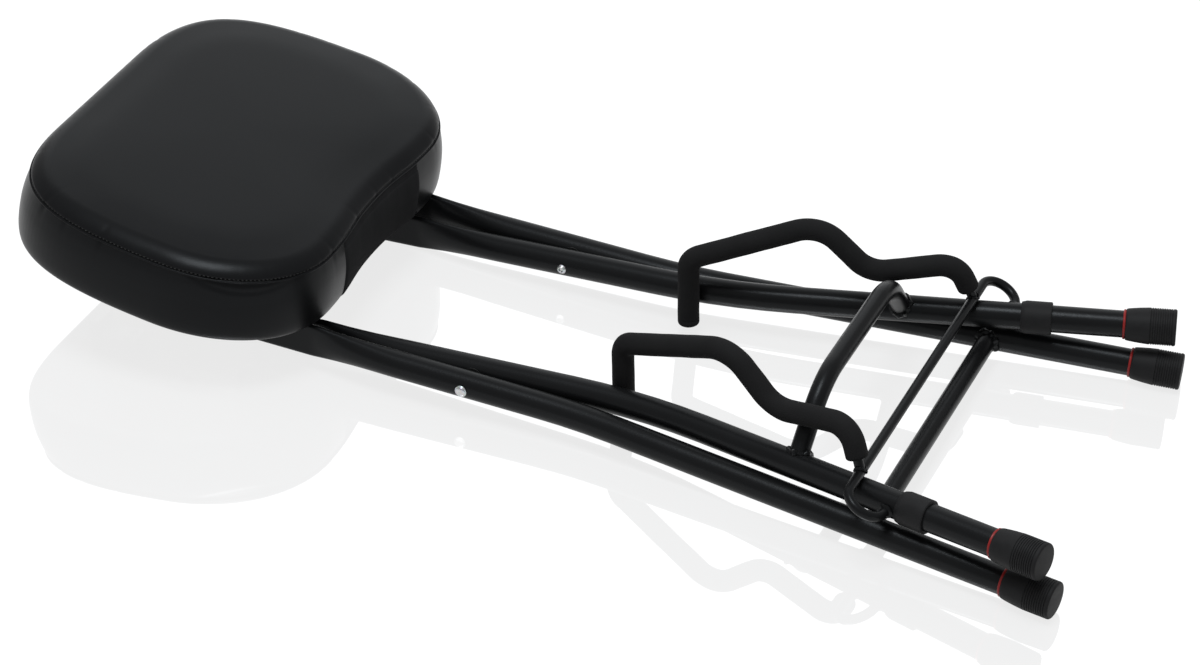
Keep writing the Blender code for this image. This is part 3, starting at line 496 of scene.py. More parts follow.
# Feet and their rings
# Moulded rubber caps pushed over the tubes' ends, ribbed on their outer half. Each has a thin ring of red
# plastic at its mouth.
FOOT_LENGTH = 41.0 * MM
FOOT_RADIUS = 15.0 * MM
FOOT_MOUTH_RADIUS = 13.1 * MM
FOOT_BORE = 11.3 * MM
FOOT_CHAMFER = 1.6 * MM
CHAMFER_STEPS = 5
FOOT_LIP = 0.3 * MM
TUBE_END_GAP = 0.4 * MM
RIB_START = 20.2 * MM
RIB_PITCH = 1.9 * MM
RIB_COUNT = 10
RIB_DEPTH = 0.6 * MM
RIB_TOOTH = ((0.92, 0.0), (0.40, 0.0), (0.30, 1.0), (0.06, 1.0))
RING_RADIUS = 12.2 * MM
RING_WIDTH = 1.8 * MM
TURN_STEPS = 64
RUBBER_COLOURS = ((0.011, 0.011, 0.0115), (0.022, 0.022, 0.023))
RED_COLOURS = ((0.26, 0.010, 0.010), (0.40, 0.02, 0.018))


def turned(profile, place, along, closed=False):
    """A profile of (radius, height) points spun about a line through a place."""
    shape = bmesh.new()
    points = [shape.verts.new((radius, 0, height)) for radius, height in profile]
    pairs = list(zip(points, points[1:]))
    if closed:
        pairs.append((points[-1], points[0]))
    edges = [shape.edges.new(pair) for pair in pairs]
    bmesh.ops.spin(shape, geom=points + edges, cent=(0, 0, 0), axis=Z_AXIS, angle=2 * pi, steps=TURN_STEPS,
                   use_merge=True)
    bmesh.ops.remove_doubles(shape, verts=shape.verts, dist=MERGE_GAP)
    turn = Vector(along).to_track_quat("Z", "Y").to_matrix().to_4x4()
    bmesh.ops.transform(shape, matrix=Matrix.Translation(place) @ turn, verts=shape.verts)
    return shape


def moulded_rubber():
    """Matt black rubber with a fine bloom and a faint moulded grain."""
    rubber = Finish("black_rubber", {"Specular IOR Level": 0.15})
    place = rubber.place()
    bloom = rubber.cloud(place, grain=9 * MM, detail=3.0)
    grain = rubber.cloud(place, grain=0.5 * MM, detail=2.0)
    rubber.wear(
        base_color=rubber.blend(bloom, *RUBBER_COLOURS),
        roughness=0.5 + bloom * 0.16,
        normal=rubber.relief(grain, depth=0.05 * MM),
    )
    return rubber


def ring_red():
    """Red moulded plastic, a little cloudy."""
    red = Finish("red_ring", {"Specular IOR Level": 0.4})
    cloud = red.cloud(red.place(), grain=4 * MM)
    red.wear(base_color=red.blend(cloud, *RED_COLOURS), roughness=0.38 + cloud * 0.12)
    return red


rubber = moulded_rubber()
red = ring_red()
foot_profile = [(0, FOOT_LENGTH), (FOOT_RADIUS - FOOT_CHAMFER, FOOT_LENGTH)]
for step in range(1, CHAMFER_STEPS):
    turn = pi / 2 * step / CHAMFER_STEPS
    drop = FOOT_CHAMFER * (1 - cos(turn))
    foot_profile.append((FOOT_RADIUS - FOOT_CHAMFER * (1 - sin(turn)), FOOT_LENGTH - drop))
for rib in reversed(range(RIB_COUNT)):
    low = RIB_START + rib * RIB_PITCH
    for share, depth in RIB_TOOTH:
        foot_profile.append((FOOT_RADIUS - RIB_DEPTH * depth, low + share * RIB_PITCH))
foot_profile += [
    (FOOT_RADIUS, RIB_START - 0.2 * RIB_PITCH),
    (FOOT_RADIUS - 0.1 * MM, RIB_START - RIB_PITCH),
    (FOOT_RADIUS - 0.7 * MM, 11.0 * MM),
    (FOOT_MOUTH_RADIUS + 0.4 * MM, 4.6 * MM),
    (FOOT_MOUTH_RADIUS, 2.0 * MM),
    (FOOT_MOUTH_RADIUS - 0.3 * MM, 0.8 * MM),
    (FOOT_MOUTH_RADIUS - 0.9 * MM, FOOT_LIP),
    (FOOT_BORE, FOOT_LIP),
    (FOOT_BORE, TUBE_IN_FOOT + TUBE_END_GAP),
    (0, TUBE_IN_FOOT + TUBE_END_GAP),
]
ring_profile = [
    (FOOT_BORE, 0.2 * MM),
    (RING_RADIUS - 0.4 * MM, 0.2 * MM),
    (RING_RADIUS, -0.3 * MM),
    (RING_RADIUS, -RING_WIDTH + 0.5 * MM),
    (RING_RADIUS - 0.5 * MM, -RING_WIDTH),
    (FOOT_BORE, -RING_WIDTH),
]
FEET = (
    ("outer", OUTER_FRAME, (OUTER_HALF_WIDTH, OUTER_BEND_REACH, OUTER_SPLAY), OUTER_SHANK),
    ("inner", INNER_FRAME, (INNER_HALF_WIDTH, INNER_BEND_REACH, INNER_SPLAY), INNER_SHANK),
)
for frame_name, place, line, shank in FEET:
    for side_name, side in SIDES:
        bend, along = leg_line(side, *line)
        mouth = bend + along * shank
        body = frame_name + "_frame"
        node = f"{frame_name}_foot_{side_name}"
        shape = turned(foot_profile, mouth, along)
        add_piece(node + "_cap", shape, rubber, place, body, "rubber", node)
        node = f"{frame_name}_foot_ring_{side_name}"
        shape = turned(ring_profile, mouth, along, closed=True)
        add_piece(node + "_band", shape, red, place, body, "red_ring", node)

# Bumper collars
# Moulded rubber sleeves pushed onto the inner legs, which stop the cradle's rod when its arms swing out.
CRADLE_REACH = (cradle_axis - rivet_axis).length
ROD_SETBACK = 27.5 * MM
COLLAR_RADIUS = 13.5 * MM
COLLAR_BORE = TUBE_RADIUS + 0.1 * MM
COLLAR_HALF_LENGTH = 12.5 * MM
COLLAR_SETBACK = 5.6 * MM
COLLAR_SLOPE = 3.0 * MM
COLLAR_STEP = 1.0 * MM
collar_profile = [
    (COLLAR_BORE, COLLAR_HALF_LENGTH),
    (COLLAR_RADIUS - 0.7 * MM, COLLAR_HALF_LENGTH),
    (COLLAR_RADIUS, COLLAR_HALF_LENGTH - 0.7 * MM),
    (COLLAR_RADIUS, COLLAR_SLOPE - COLLAR_HALF_LENGTH + 1.0 * MM),
    (COLLAR_RADIUS - 0.3 * MM, COLLAR_SLOPE - COLLAR_HALF_LENGTH),
    (COLLAR_RADIUS - COLLAR_STEP, -COLLAR_HALF_LENGTH + 0.5 * MM),
    (COLLAR_RADIUS - COLLAR_STEP - 0.4 * MM, -COLLAR_HALF_LENGTH),
    (COLLAR_BORE, -COLLAR_HALF_LENGTH),
]
for side_name, side in SIDES:
    bend, along = leg_line(side, INNER_HALF_WIDTH, INNER_BEND_REACH, INNER_SPLAY)
    reach = (CRADLE_REACH + ROD_SETBACK - COLLAR_SETBACK - INNER_BEND_REACH) / cos(INNER_SPLAY)
    shape = turned(collar_profile, bend + along * reach, along, closed=True)
    node = f"bumper_{side_name}"
    add_piece(node + "_collar", shape, rubber, INNER_FRAME, "inner_frame", "rubber", node)

# Leg rivets and washers
# Zinc-plated steel rivets where the legs cross: a domed head outside and a rolled, dimpled one inside,
# with a nylon washer between the tubes.
RIVET_RADIUS = 3.0 * MM
RIVET_HEAD_RADIUS = 5.0 * MM
RIVET_TAIL_RADIUS = 4.1 * MM
RIVET_HEAD_HEIGHT = 2.6 * MM
RIVET_RIM_HEIGHT = 1.0 * MM
RIVET_DIMPLE_RADIUS = 1.8 * MM
DOME_SHARE = 0.84
DOME_STEPS = 8
ZINC_COLOURS = ((0.46, 0.47, 0.49), (0.74, 0.75, 0.76))
NYLON_COLOURS = ((0.014, 0.014, 0.014), (0.024, 0.024, 0.024))


def zinc_plate():
    """Bright zinc plate, finely mottled."""
    zinc = Finish("zinc_plate", {"Metallic": 1.0})
    place = zinc.place()
    spangle = zinc.node("TexVoronoi", {}, {"Vector": place, "Scale": 1 / (1.3 * MM)}, "Color")
    scuff = zinc.cloud(place, grain=0.7 * MM, detail=4.0)
    tint = zinc.blend(0.12, zinc.blend(scuff, *ZINC_COLOURS), spangle)
    zinc.wear(base_color=tint, roughness=0.24 + scuff * 0.2, normal=zinc.relief(scuff, depth=0.02 * MM))
    return zinc


def moulded_nylon():
    """Black nylon with a spark-eroded grain."""
    nylon = Finish("black_nylon", {"Specular IOR Level": 0.35})
    grain = nylon.cloud(nylon.place(), grain=0.4 * MM, detail=2.0)
    nylon.wear(
        base_color=nylon.blend(grain, *NYLON_COLOURS),
        roughness=0.42 + grain * 0.15,
        normal=nylon.relief(grain, depth=0.06 * MM),
    )
    return nylon


def dress(name, finish):
    """Give a CAD node that stays in sight its finish."""
    data = frame["nodes"][name].data
    data.materials.clear()
    data.materials.append(finish.material)


zinc = zinc_plate()
nylon = moulded_nylon()
rivet_out = OUTER_HALF_WIDTH + TUBE_RADIUS
rivet_in = INNER_HALF_WIDTH - TUBE_RADIUS
dome_height = RIVET_HEAD_HEIGHT - RIVET_RIM_HEIGHT
rivet_profile = []
for step in range(DOME_STEPS + 1):
    turn = pi / 2 * step / DOME_STEPS
    height = RIVET_RIM_HEIGHT + dome_height * cos(turn)
    rivet_profile.append((RIVET_HEAD_RADIUS * DOME_SHARE * sin(turn), rivet_out + height))
rivet_profile += [
    (RIVET_HEAD_RADIUS * 0.94, rivet_out + RIVET_RIM_HEIGHT),
    (RIVET_HEAD_RADIUS, rivet_out + RIVET_RIM_HEIGHT * 0.6),
    (RIVET_HEAD_RADIUS, rivet_out),
    (RIVET_RADIUS, rivet_out),
    (RIVET_RADIUS, rivet_in),
    (RIVET_TAIL_RADIUS, rivet_in),
    (RIVET_TAIL_RADIUS, rivet_in - RIVET_RIM_HEIGHT * 0.6),
    (RIVET_TAIL_RADIUS * 0.86, rivet_in - RIVET_RIM_HEIGHT * 1.5),
    (RIVET_TAIL_RADIUS * 0.64, rivet_in - RIVET_HEAD_HEIGHT * 0.96),
    (RIVET_DIMPLE_RADIUS * 1.15, rivet_in - RIVET_HEAD_HEIGHT * 0.9),
    (RIVET_DIMPLE_RADIUS * 0.8, rivet_in - RIVET_HEAD_HEIGHT * 0.35),
    (0, rivet_in - RIVET_HEAD_HEIGHT * 0.2),
]
for side_name, side in SIDES:
    node = f"pivot_rivet_{side_name}"
    shape = turned(rivet_profile, (0, 0, 0), Y_AXIS * side)
    add_piece(node + "_zinc", shape, zinc, OUTER_FRAME, "outer_frame", "zinc", node)
    dress(f"pivot_washer_{side_name}", nylon)

# Cradle rod
# An 8 mm wire across the inner legs, turned back at each end and into the legs' holes from outside,
# with a peened collar that keeps each end in its hole. Powder-coated black.
WIRE_RADIUS = 4.0 * MM
WIRE_SIDES = 24
WIRE_ENTRY = 8.0 * MM
HOOK_STRAIGHT = 3.0 * MM
ROD_GAP = 0.3 * MM
ROD_RISE = TUBE_RADIUS + WIRE_RADIUS + ROD_GAP
CRADLE_FRAME = frame_at(cradle_axis, cradle_axis - rivet_axis)
COLLAR_LUMP = 0.9 * MM
COLLAR_LUMPS_PER_METRE = 240
rod_place = Vector((-ROD_SETBACK, 0, ROD_RISE))
pivot_span = half_span(INNER_HALF_WIDTH, INNER_BEND_REACH, INNER_SPLAY, CRADLE_REACH)
hook_start = pivot_span + TUBE_RADIUS / cos(INNER_SPLAY)
hook_turn = hook_start + HOOK_STRAIGHT
hook_axle = Y_AXIS.cross(rod_place).normalized()
rod = Tube(Y_AXIS * (hook_start - WIRE_ENTRY), Y_AXIS, WIRE_RADIUS, WIRE_SIDES)
rod.run(Y_AXIS * hook_turn)
rod.sweep(rod_place / 2 + Y_AXIS * hook_turn, hook_axle, pi)
rod.run(rod_place - Y_AXIS * hook_turn)
rod.sweep(rod_place / 2 - Y_AXIS * hook_turn, hook_axle, pi)
rod.run(Y_AXIS * (WIRE_ENTRY - hook_start))
add_piece("cradle_rod_wire", rod.close(), coat, CRADLE_FRAME, "cradle", "powder_coat", "cradle_rod")
peened_profile = [
    (WIRE_RADIUS - 0.2 * MM, 0.4 * MM),
    (5.4 * MM, 0.5 * MM),
    (6.2 * MM, 1.1 * MM),
    (6.2 * MM, 2.0 * MM),
    (5.2 * MM, 2.9 * MM),
    (WIRE_RADIUS - 0.2 * MM, 3.6 * MM),
]
for side_name, side in SIDES:
    shape = turned(peened_profile, Y_AXIS * side * hook_start, Y_AXIS * side, closed=True)
    shape.normal_update()
    for vertex in shape.verts:
        vertex.co += vertex.normal * noise.noise(vertex.co * COLLAR_LUMPS_PER_METRE) * COLLAR_LUMP
    add_piece(f"hook_collar_{side_name}", shape, coat, CRADLE_FRAME, "cradle", "powder_coat")

# Arm wires
# Two 8 mm steel wires welded on top of the rod and bent into arms, with a turned lip at the end of each.
# Powder-coated black.
ARM_ROOT_SPAN = 134.0 * MM
ARM_BENDS = (
    (40.0 * MM, 50.2 * MM, 126.3 * MM, 20.0 * MM),
    (107.5 * MM, 37.6 * MM, 107.2 * MM, 28.0 * MM),
    (148.0 * MM, 77.9 * MM, 99.6 * MM, 32.0 * MM),
    (250.0 * MM, 40.3 * MM, 69.0 * MM, 13.0 * MM),
)
LIP_SPAN = 68.3 * MM
LIP_DROP = 57.0 * MM
ARM_BEAD = 1.5 * MM


def arm_path(side):
    """An arm's centre line: its root on the rod, its bends with their radii, and its lip's end."""
    root = rod_place + Y_AXIS * side * ARM_ROOT_SPAN
    bends = [(Vector((-setback, side * span, rise)), radius) for setback, rise, span, radius in ARM_BENDS]
    end = Vector((bends[-1][0].x, side * LIP_SPAN, bends[-1][0].z - LIP_DROP))
    return root, bends, end


def follow_arm(tube, bends, end, ring_gap=None):
    """Take a tube round an arm's bends, short of its end."""
    points = [bend for bend, radius in bends] + [end]
    for (bend, radius), onward in zip(bends, points[1:]):
        tube.corner(bend, onward, radius, ring_gap)


for side_name, side in SIDES:
    root, bends, end = arm_path(side)
    rise = (bends[0][0] - root).normalized()
    wire = Tube(root + rise * WIRE_RADIUS / 2, rise, WIRE_RADIUS, WIRE_SIDES)
    follow_arm(wire, bends, end)
    wire.run(end)
    node = f"arm_wire_{side_name}"
    add_piece(node + "_steel", wire.close(), coat, CRADLE_FRAME, "cradle", "powder_coat", node)
    shape = weld_bead(root, rise, Y_AXIS, WIRE_RADIUS, WIRE_RADIUS, ARM_BEAD, seed=5 + side)
    add_piece(f"arm_weld_{side_name}", shape, coat, CRADLE_FRAME, "cradle", "powder_coat")

# Arm foam sleeves
# Closed-cell foam tubes pushed over the arms, with rounded ends and a shallow nick near the lip's end.
FOAM_RADIUS = 9.0 * MM
FOAM_BORE = 4.2 * MM
FOAM_SIDES = 36
FOAM_START = 11.0 * MM
FOAM_OVER = 4.0 * MM
FOAM_RING_GAP = 3.0 * MM
FOAM_ROLL = ((0.0, 0.84), (0.6, 0.93), (1.4, 0.98), (2.6, 1.0))
NICK_SETBACK = 7.0 * MM
NICK_STEPS = ((0.0, 1.0), (0.5, 0.955), (1.1, 0.955), (1.6, 1.0))
LIP_RINGS = 8
FOAM_WAVE = 0.22 * MM
FOAM_WAVES_PER_METRE = 70
FOAM_COLOURS = ((0.011, 0.011, 0.0115), (0.018, 0.018, 0.0185))


def black_foam():
    """Matt black foam with a fine closed-cell skin."""
    foam = Finish("black_foam", {"Specular IOR Level": 0.12})
    place = foam.place()
    cells = foam.node("TexVoronoi", {}, {"Vector": place, "Scale": 1 / (0.7 * MM)})
    drift = foam.cloud(place, grain=25 * MM, detail=3.0)
    foam.wear(
        base_color=foam.blend(drift, *FOAM_COLOURS),
        roughness=0.72 + cells * 0.15,
        normal=foam.relief(cells, depth=0.12 * MM),
    )
    return foam


foam_finish = black_foam()
for side_name, side in SIDES:
    root, bends, end = arm_path(side)
    rise = (bends[0][0] - root).normalized()
    lip_way = (end - bends[-1][0]).normalized()
    place = root + rise * FOAM_START
    sleeve = Tube(place, rise, FOAM_BORE, FOAM_SIDES)
    for distance, share in FOAM_ROLL:
        sleeve.run(place + rise * distance * MM)
        sleeve.widen(FOAM_RADIUS * share)
    follow_arm(sleeve, bends, end, FOAM_RING_GAP)
    nick = end + lip_way * (FOAM_OVER - NICK_SETBACK)
    sleeve.run(nick, LIP_RINGS)
    for distance, share in NICK_STEPS:
        sleeve.run(nick + lip_way * distance * MM)
        sleeve.widen(FOAM_RADIUS * share)
    lip_end = end + lip_way * FOAM_OVER
    for distance, share in reversed(FOAM_ROLL):
        sleeve.run(lip_end - lip_way * distance * MM)
        sleeve.widen(FOAM_RADIUS * share)
    shape = sleeve.close()
    shape.normal_update()
    for vertex in shape.verts:
        vertex.co += vertex.normal * noise.noise(vertex.co * FOAM_WAVES_PER_METRE) * FOAM_WAVE
    node = f"arm_foam_{side_name}"
    piece = add_piece(node + "_sleeve", shape, foam_finish, CRADLE_FRAME, "cradle", "foam", node)

# Seat brackets and fasteners
# Pressed-steel hinge rails and nylon saddles under the board, with blackened steel screws, bolts and nuts.
SCREW_COUNT = 10
OXIDE_COLOURS = ((0.018, 0.018, 0.019), (0.04, 0.04, 0.042))


def black_oxide():
    """Blackened steel, dull, with a patchy oil sheen."""
    steel = Finish("black_oxide", {"Metallic": 1.0})
    patch = steel.cloud(steel.place(), grain=2 * MM, detail=3.0)
    steel.wear(base_color=steel.blend(patch, *OXIDE_COLOURS), roughness=0.35 + patch * 0.2)
    return steel


oxide = black_oxide()
for side_name, side in SIDES:
    dress(f"seat_rail_{side_name}", coat)
    dress(f"latch_saddle_{side_name}", nylon)
    dress(f"hinge_bolt_{side_name}", oxide)
    dress(f"hinge_nut_{side_name}", oxide)
for number in range(1, SCREW_COUNT + 1):
    dress(f"seat_screw_{number}", oxide)

# Seat board
# A 12 mm plywood board, stained black and let into the cushion's underside.
PLY_COLOURS = ((0.030, 0.024, 0.019), (0.055, 0.045, 0.036))
STREAK_COLOUR = (0.02, 0.016, 0.013)


def birch_ply():
    """Rotary-cut birch under a black stain: long, wavering grain and a few darker streaks."""
    ply = Finish("plywood", {"Specular IOR Level": 0.25})
    stretch = ply.node("Mapping", {}, {"Vector": ply.place(), "Scale": (0.08, 1.0, 1.0)})
    grain = ply.cloud(stretch, grain=3 * MM, detail=4.0)
    streak = ply.cloud(stretch, grain=14 * MM, detail=3.0)
    streaks = ply.spread(streak, 0.5, 0.7, 0.0, 0.5)
    tint = ply.blend(streaks, ply.blend(grain, *PLY_COLOURS), STREAK_COLOUR)
    ply.wear(base_color=tint, roughness=0.6 + grain * 0.15, normal=ply.relief(grain, depth=0.08 * MM))
    return ply


dress("seat_board", birch_ply())

# Seat cushion
# Foam in black vinyl: a crowned top panel sewn to a boxing strip, swollen by its filling, and wrapped under
# the board. The seam is drawn in, and a fold has set under it at one corner.
SEAT_TILT = radians(6.8)
SEAT_LIFT = 21.2 * MM
SEAT_FRONT = 52.5 * MM
SEAT_DEPTH = 266.5 * MM
SEAT_WIDTH = 371.0 * MM
WIDEST_SETBACK = 109.0 * MM
FRONT_HOLLOW = 6.2 * MM
FRONT_EDGE_WIDTH = 185.0 * MM
REAR_EDGE_WIDTH = 132.0 * MM
FRONT_CORNER_PULL = 57.0 * MM
REAR_CORNER_PULL = 103.0 * MM
OUTLINE_STEPS = 36
SEAM_STEPS = 640
SIDE_HEIGHT = 57.3 * MM
SEAM_PINCH = 1.2 * MM
CROWN_HEIGHT = 14.0 * MM
CROWN_REACH = 140.0 * MM
ROLL_HEIGHT = 9.2 * MM
ROLL_WIDTH = 16.0 * MM
ROLL_EASE = 0.75
BOARD_THICKNESS = 12.0 * MM
BOARD_INSET = 12.0 * MM
BOARD_GAP = 0.5 * MM
SIDE_PROFILE = (
    (-5.0, 0.0), (-1.6, 0.0), (1.1, 1.0), (3.1, 3.3), (4.2, 7.0), (4.8, 13.0), (4.8, 21.0), (4.4, 29.0),
    (3.6, 36.0), (2.4, 42.0), (1.0, 47.5), (-0.4, 52.0), (-1.3, 55.0), (-1.5, 56.5),
)
SIDE_STEPS = 3
ROLL_RINGS = 22
CROWN_RINGS = 16
POCKET_SHARES = (0.15, 0.6)
VOXEL = 5.0 * MM
SWELL_PRESSURE = 4.0
SWELL_QUALITY = 6
SWELL_MASS = 0.2
SWELL_STIFFNESS = 5.0
SWELL_FRAMES = 20
SWELL_LIMIT = 2.0 * MM
SWELL_EASE = 16
CARRY_COUNT = 24
SEAM_HOLD = 4.0 * MM
SEAM_RISE = 0.6 * MM
SEAM_WIDTH = 0.9 * MM
SEAM_DEPTH = 1.1 * MM
PRICK_DEPTH = 0.5 * MM
PUCKER_DEPTH = 2.0 * MM
PUCKER_REACH = 6.0 * MM
PUCKER_GRAIN = 9.0 * MM
PUCKER_LEAN = 9.0
FOLD_START = 868.0 * MM
FOLD_END = 972.0 * MM
FOLD_DROP = 9.5 * MM
FOLD_WIDTH = 1.6 * MM
FOLD_DEPTH = 0.8 * MM
TUCK_DEPTH = 2.0 * MM
TUCK_EASE = 2.0 * MM
VINYL_COLOURS = ((0.0066, 0.0068, 0.0074), (0.0086, 0.0088, 0.0096))
SEAT_FRAME = OUTER_FRAME @ Matrix.Translation((-HINGE_REACH, 0, 0)) @ Matrix.Rotation(SEAT_TILT, 4, "Y")
seat_top = SEAT_LIFT + SIDE_HEIGHT
seat_middle = Vector((SEAT_FRONT - SEAT_DEPTH / 2, 0, 0))


def outline_half():
    """The left half of the seam's outline, from the front's middle round to the rear's."""
    widest = SEAT_FRONT - WIDEST_SETBACK
    rear = SEAT_FRONT - SEAT_DEPTH
    front_edge = FRONT_EDGE_WIDTH / 2
    rear_edge = REAR_EDGE_WIDTH / 2
    half = SEAT_WIDTH / 2
    hollow = SEAT_FRONT - FRONT_HOLLOW
    spans = (
        ((hollow, 0), (hollow, front_edge / 2), (SEAT_FRONT, front_edge / 2), (SEAT_FRONT, front_edge)),
        ((SEAT_FRONT, front_edge), (SEAT_FRONT, front_edge + FRONT_CORNER_PULL),
         (widest + FRONT_CORNER_PULL, half), (widest, half)),
        ((widest, half), (widest - REAR_CORNER_PULL, half),
         (rear, rear_edge + REAR_CORNER_PULL), (rear, rear_edge)),
        ((rear, rear_edge), (rear, rear_edge * 2 / 3), (rear, rear_edge / 3), (rear, 0)),
    )
    points = []
    for span in spans:
        points += interpolate_bezier(*(Vector((*knot, 0)) for knot in span), OUTLINE_STEPS + 1)[:-1]
    return points + [Vector((rear, 0, 0))]


def evenly(points, count):
    """A number of points at equal steps along a closed line, and the step."""
    ends = points[1:] + points[:1]
    lengths = [(end - start).length for start, end in zip(points, ends)]
    step = sum(lengths) / count
    even = []
    walked = 0.0
    leg = 0
    for number in range(count):
        while walked + lengths[leg] < number * step:
            walked += lengths[leg]
            leg += 1
        even.append(points[leg].lerp(ends[leg], (number * step - walked) / lengths[leg]))
    return even, step


def outline_ways(points):
    """The outward way at each point of a closed outline that runs from the front to the left."""
    ways = []
    for index in range(len(points)):
        along = points[(index + 1) % len(points)] - points[index - 1]
        ways.append(Vector((along.y, -along.x, 0)).normalized())
    return ways


seam_half = outline_half()
seam_whole = seam_half + [Vector((point.x, -point.y, 0)) for point in seam_half[-2:0:-1]]
seam_line, seam_step = evenly(seam_whole, SEAM_STEPS)
seam_ways = outline_ways(seam_line)
seam_tree = KDTree(SEAM_STEPS)
for index, point in enumerate(seam_line):
    seam_tree.insert(point, index)
seam_tree.balance()


def side_ring(grow, height, share=1.0):
    """The outline grown by a distance and drawn in by a share, at a height of the cushion's side."""
    ring = [point + way * grow for point, way in zip(seam_line, seam_ways)]
    lift = Z_AXIS * (SEAT_LIFT + height)
    return [seat_middle.lerp(point, share) + lift for point in ring]


def top_ring(inset, share=1.0):
    """A ring of the top panel, set in from the seam and drawn towards the middle, at the crown's height."""
    reach = (1 - inset / CROWN_REACH) * share
    roll = (1 - (1 - inset / ROLL_WIDTH) ** 2) ** ROLL_EASE
    height = SIDE_HEIGHT + ROLL_HEIGHT * roll + (CROWN_HEIGHT - ROLL_HEIGHT) * (1 - reach * reach)
    return side_ring(-SEAM_PINCH - inset, height, share)


def rounded(points, steps):
    """A smooth line through points, in a number of steps from each to the next."""
    knots = [Vector((*point, 0)) for point in points]
    knots = knots[:1] + knots + knots[-1:]
    line = []
    for before, start, end, after in zip(knots, knots[1:], knots[2:], knots[3:]):
        leave = start + (end - before) / 6
        arrive = end - (after - start) / 6
        line += interpolate_bezier(start, leave, arrive, end, steps + 1)[:-1]
    return line + knots[-1:]


def loft(shape, rings, round_back=False):
    """Bridge closed rings of points, one to the next, and give their loops of edges."""
    loops = []
    for ring in rings:
        points = [shape.verts.new(point) for point in ring]
        loops.append([shape.edges.new(pair) for pair in zip(points, points[1:] + points[:1])])
    for low, high in zip(loops, loops[1:] + loops[:1] if round_back else loops[1:]):
        bmesh.ops.bridge_loops(shape, edges=low + high)
    return loops


def seam_reading(point):
    """The nearest step of the seam, and how far outside its outline and above it a point lies."""
    nearest, index, distance = seam_tree.find((point.x, point.y, 0))
    offset = Vector((point.x - nearest.x, point.y - nearest.y, 0))
    return index, offset.dot(seam_ways[index]) + SEAM_PINCH, point.z - seat_top


def black_vinyl():
    """Semi-gloss black vinyl with a fine leather grain."""
    vinyl = Finish("black_vinyl", {"Specular IOR Level": 0.13, "Specular Tint": COOL_GLOSS})
    place = vinyl.place()
    grain = {"Vector": place, "Scale": 1 / (1.1 * MM)}
    cells = vinyl.node("TexVoronoi", {"feature": "DISTANCE_TO_EDGE"}, grain)
    pores = vinyl.cloud(place, grain=0.5 * MM, detail=2.0)
    drift = vinyl.cloud(place, grain=50 * MM, detail=4.0)
    vinyl.wear(
        base_color=vinyl.blend(drift, *VINYL_COLOURS),
        roughness=0.29 + drift * 0.08,
        normal=vinyl.relief(cells * 0.6 + pores * 0.4, depth=0.05 * MM),
    )
    return vinyl


def settle(piece):
    """Make a piece's modifiers final."""
    piece.data = bpy.data.meshes.new_from_object(piece.evaluated_get(bpy.context.evaluated_depsgraph_get()))
    piece.modifiers.clear()


def swell(shape):
    """Blow up an even remesh of a shape a little, and give its vertices' places and their eased moves."""
    data = bpy.data.meshes.new("cushion_form")
    shape.to_mesh(data)
    form = bpy.data.objects.new("cushion_form", data)
    scene.collection.objects.link(form)
    remesh = form.modifiers.new("remesh", "REMESH")
    remesh.mode = "VOXEL"
    remesh.voxel_size = VOXEL
    settle(form)
    underside = BOARD_THICKNESS + VOXEL - SIDE_HEIGHT
    held = []
    for vertex in form.data.vertices:
        outside, rise = seam_reading(vertex.co)[1:]
        if hypot(outside, rise) < SEAM_HOLD or (rise < underside and outside < 0):
            held.append(vertex.index)
    form.vertex_groups.new(name="held").add(held, 1.0, "REPLACE")
    before = [vertex.co.copy() for vertex in form.data.vertices]
    cloth = form.modifiers.new("swell", "CLOTH")
    cloth.settings.quality = SWELL_QUALITY
    cloth.settings.mass = SWELL_MASS
    cloth.settings.bending_stiffness = SWELL_STIFFNESS
    cloth.settings.use_pressure = True
    cloth.settings.uniform_pressure_force = SWELL_PRESSURE
    cloth.settings.vertex_group_mass = "held"
    cloth.settings.effector_weights.gravity = 0
    cloth.collision_settings.use_collision = False
    cloth.point_cache.frame_start = 1
    cloth.point_cache.frame_end = SWELL_FRAMES
    for number in range(1, SWELL_FRAMES + 1):
        scene.frame_set(number)
    settle(form)
    scene.frame_set(1)
    moves = []
    for vertex, start in zip(form.data.vertices, before):
        move = vertex.co - start
        moves.append(move * (SWELL_LIMIT / max(move.length, SWELL_LIMIT)))
    neighbours = [[] for _ in moves]
    for edge in form.data.edges:
        first, second = edge.vertices
        neighbours[first].append(second)
        neighbours[second].append(first)
    for _ in range(SWELL_EASE):
        for index in held:
            moves[index] = Vector((0, 0, 0))
        moves = [sum((moves[other] for other in near), move) / (len(near) + 1)
                 for move, near in zip(moves, neighbours)]
    bpy.data.objects.remove(form, do_unlink=True)
    return before, moves


pocket = BOARD_GAP - BOARD_INSET
pocket_top = BOARD_THICKNESS + BOARD_GAP
rings = [side_ring(pocket, pocket_top, share) for share in POCKET_SHARES]
rings += [side_ring(pocket, pocket_top), side_ring(pocket, 0)]
rings += [side_ring(point.x * MM, point.y * MM) for point in rounded(SIDE_PROFILE, SIDE_STEPS)]
rings.append(side_ring(-SEAM_PINCH, SIDE_HEIGHT))
rings += [top_ring(ROLL_WIDTH * (number / ROLL_RINGS) ** 2) for number in range(1, ROLL_RINGS + 1)]
rings += [top_ring(ROLL_WIDTH, 1 - number / (CROWN_RINGS + 1)) for number in range(1, CROWN_RINGS + 1)]
shape = bmesh.new()
loops = loft(shape, rings)
bmesh.ops.holes_fill(shape, edges=loops[0] + loops[-1], sides=0)
bmesh.ops.recalc_face_normals(shape, faces=shape.faces)
before, moves = swell(shape)
form_tree = KDTree(len(before))
for index, point in enumerate(before):
    form_tree.insert(point, index)
form_tree.balance()
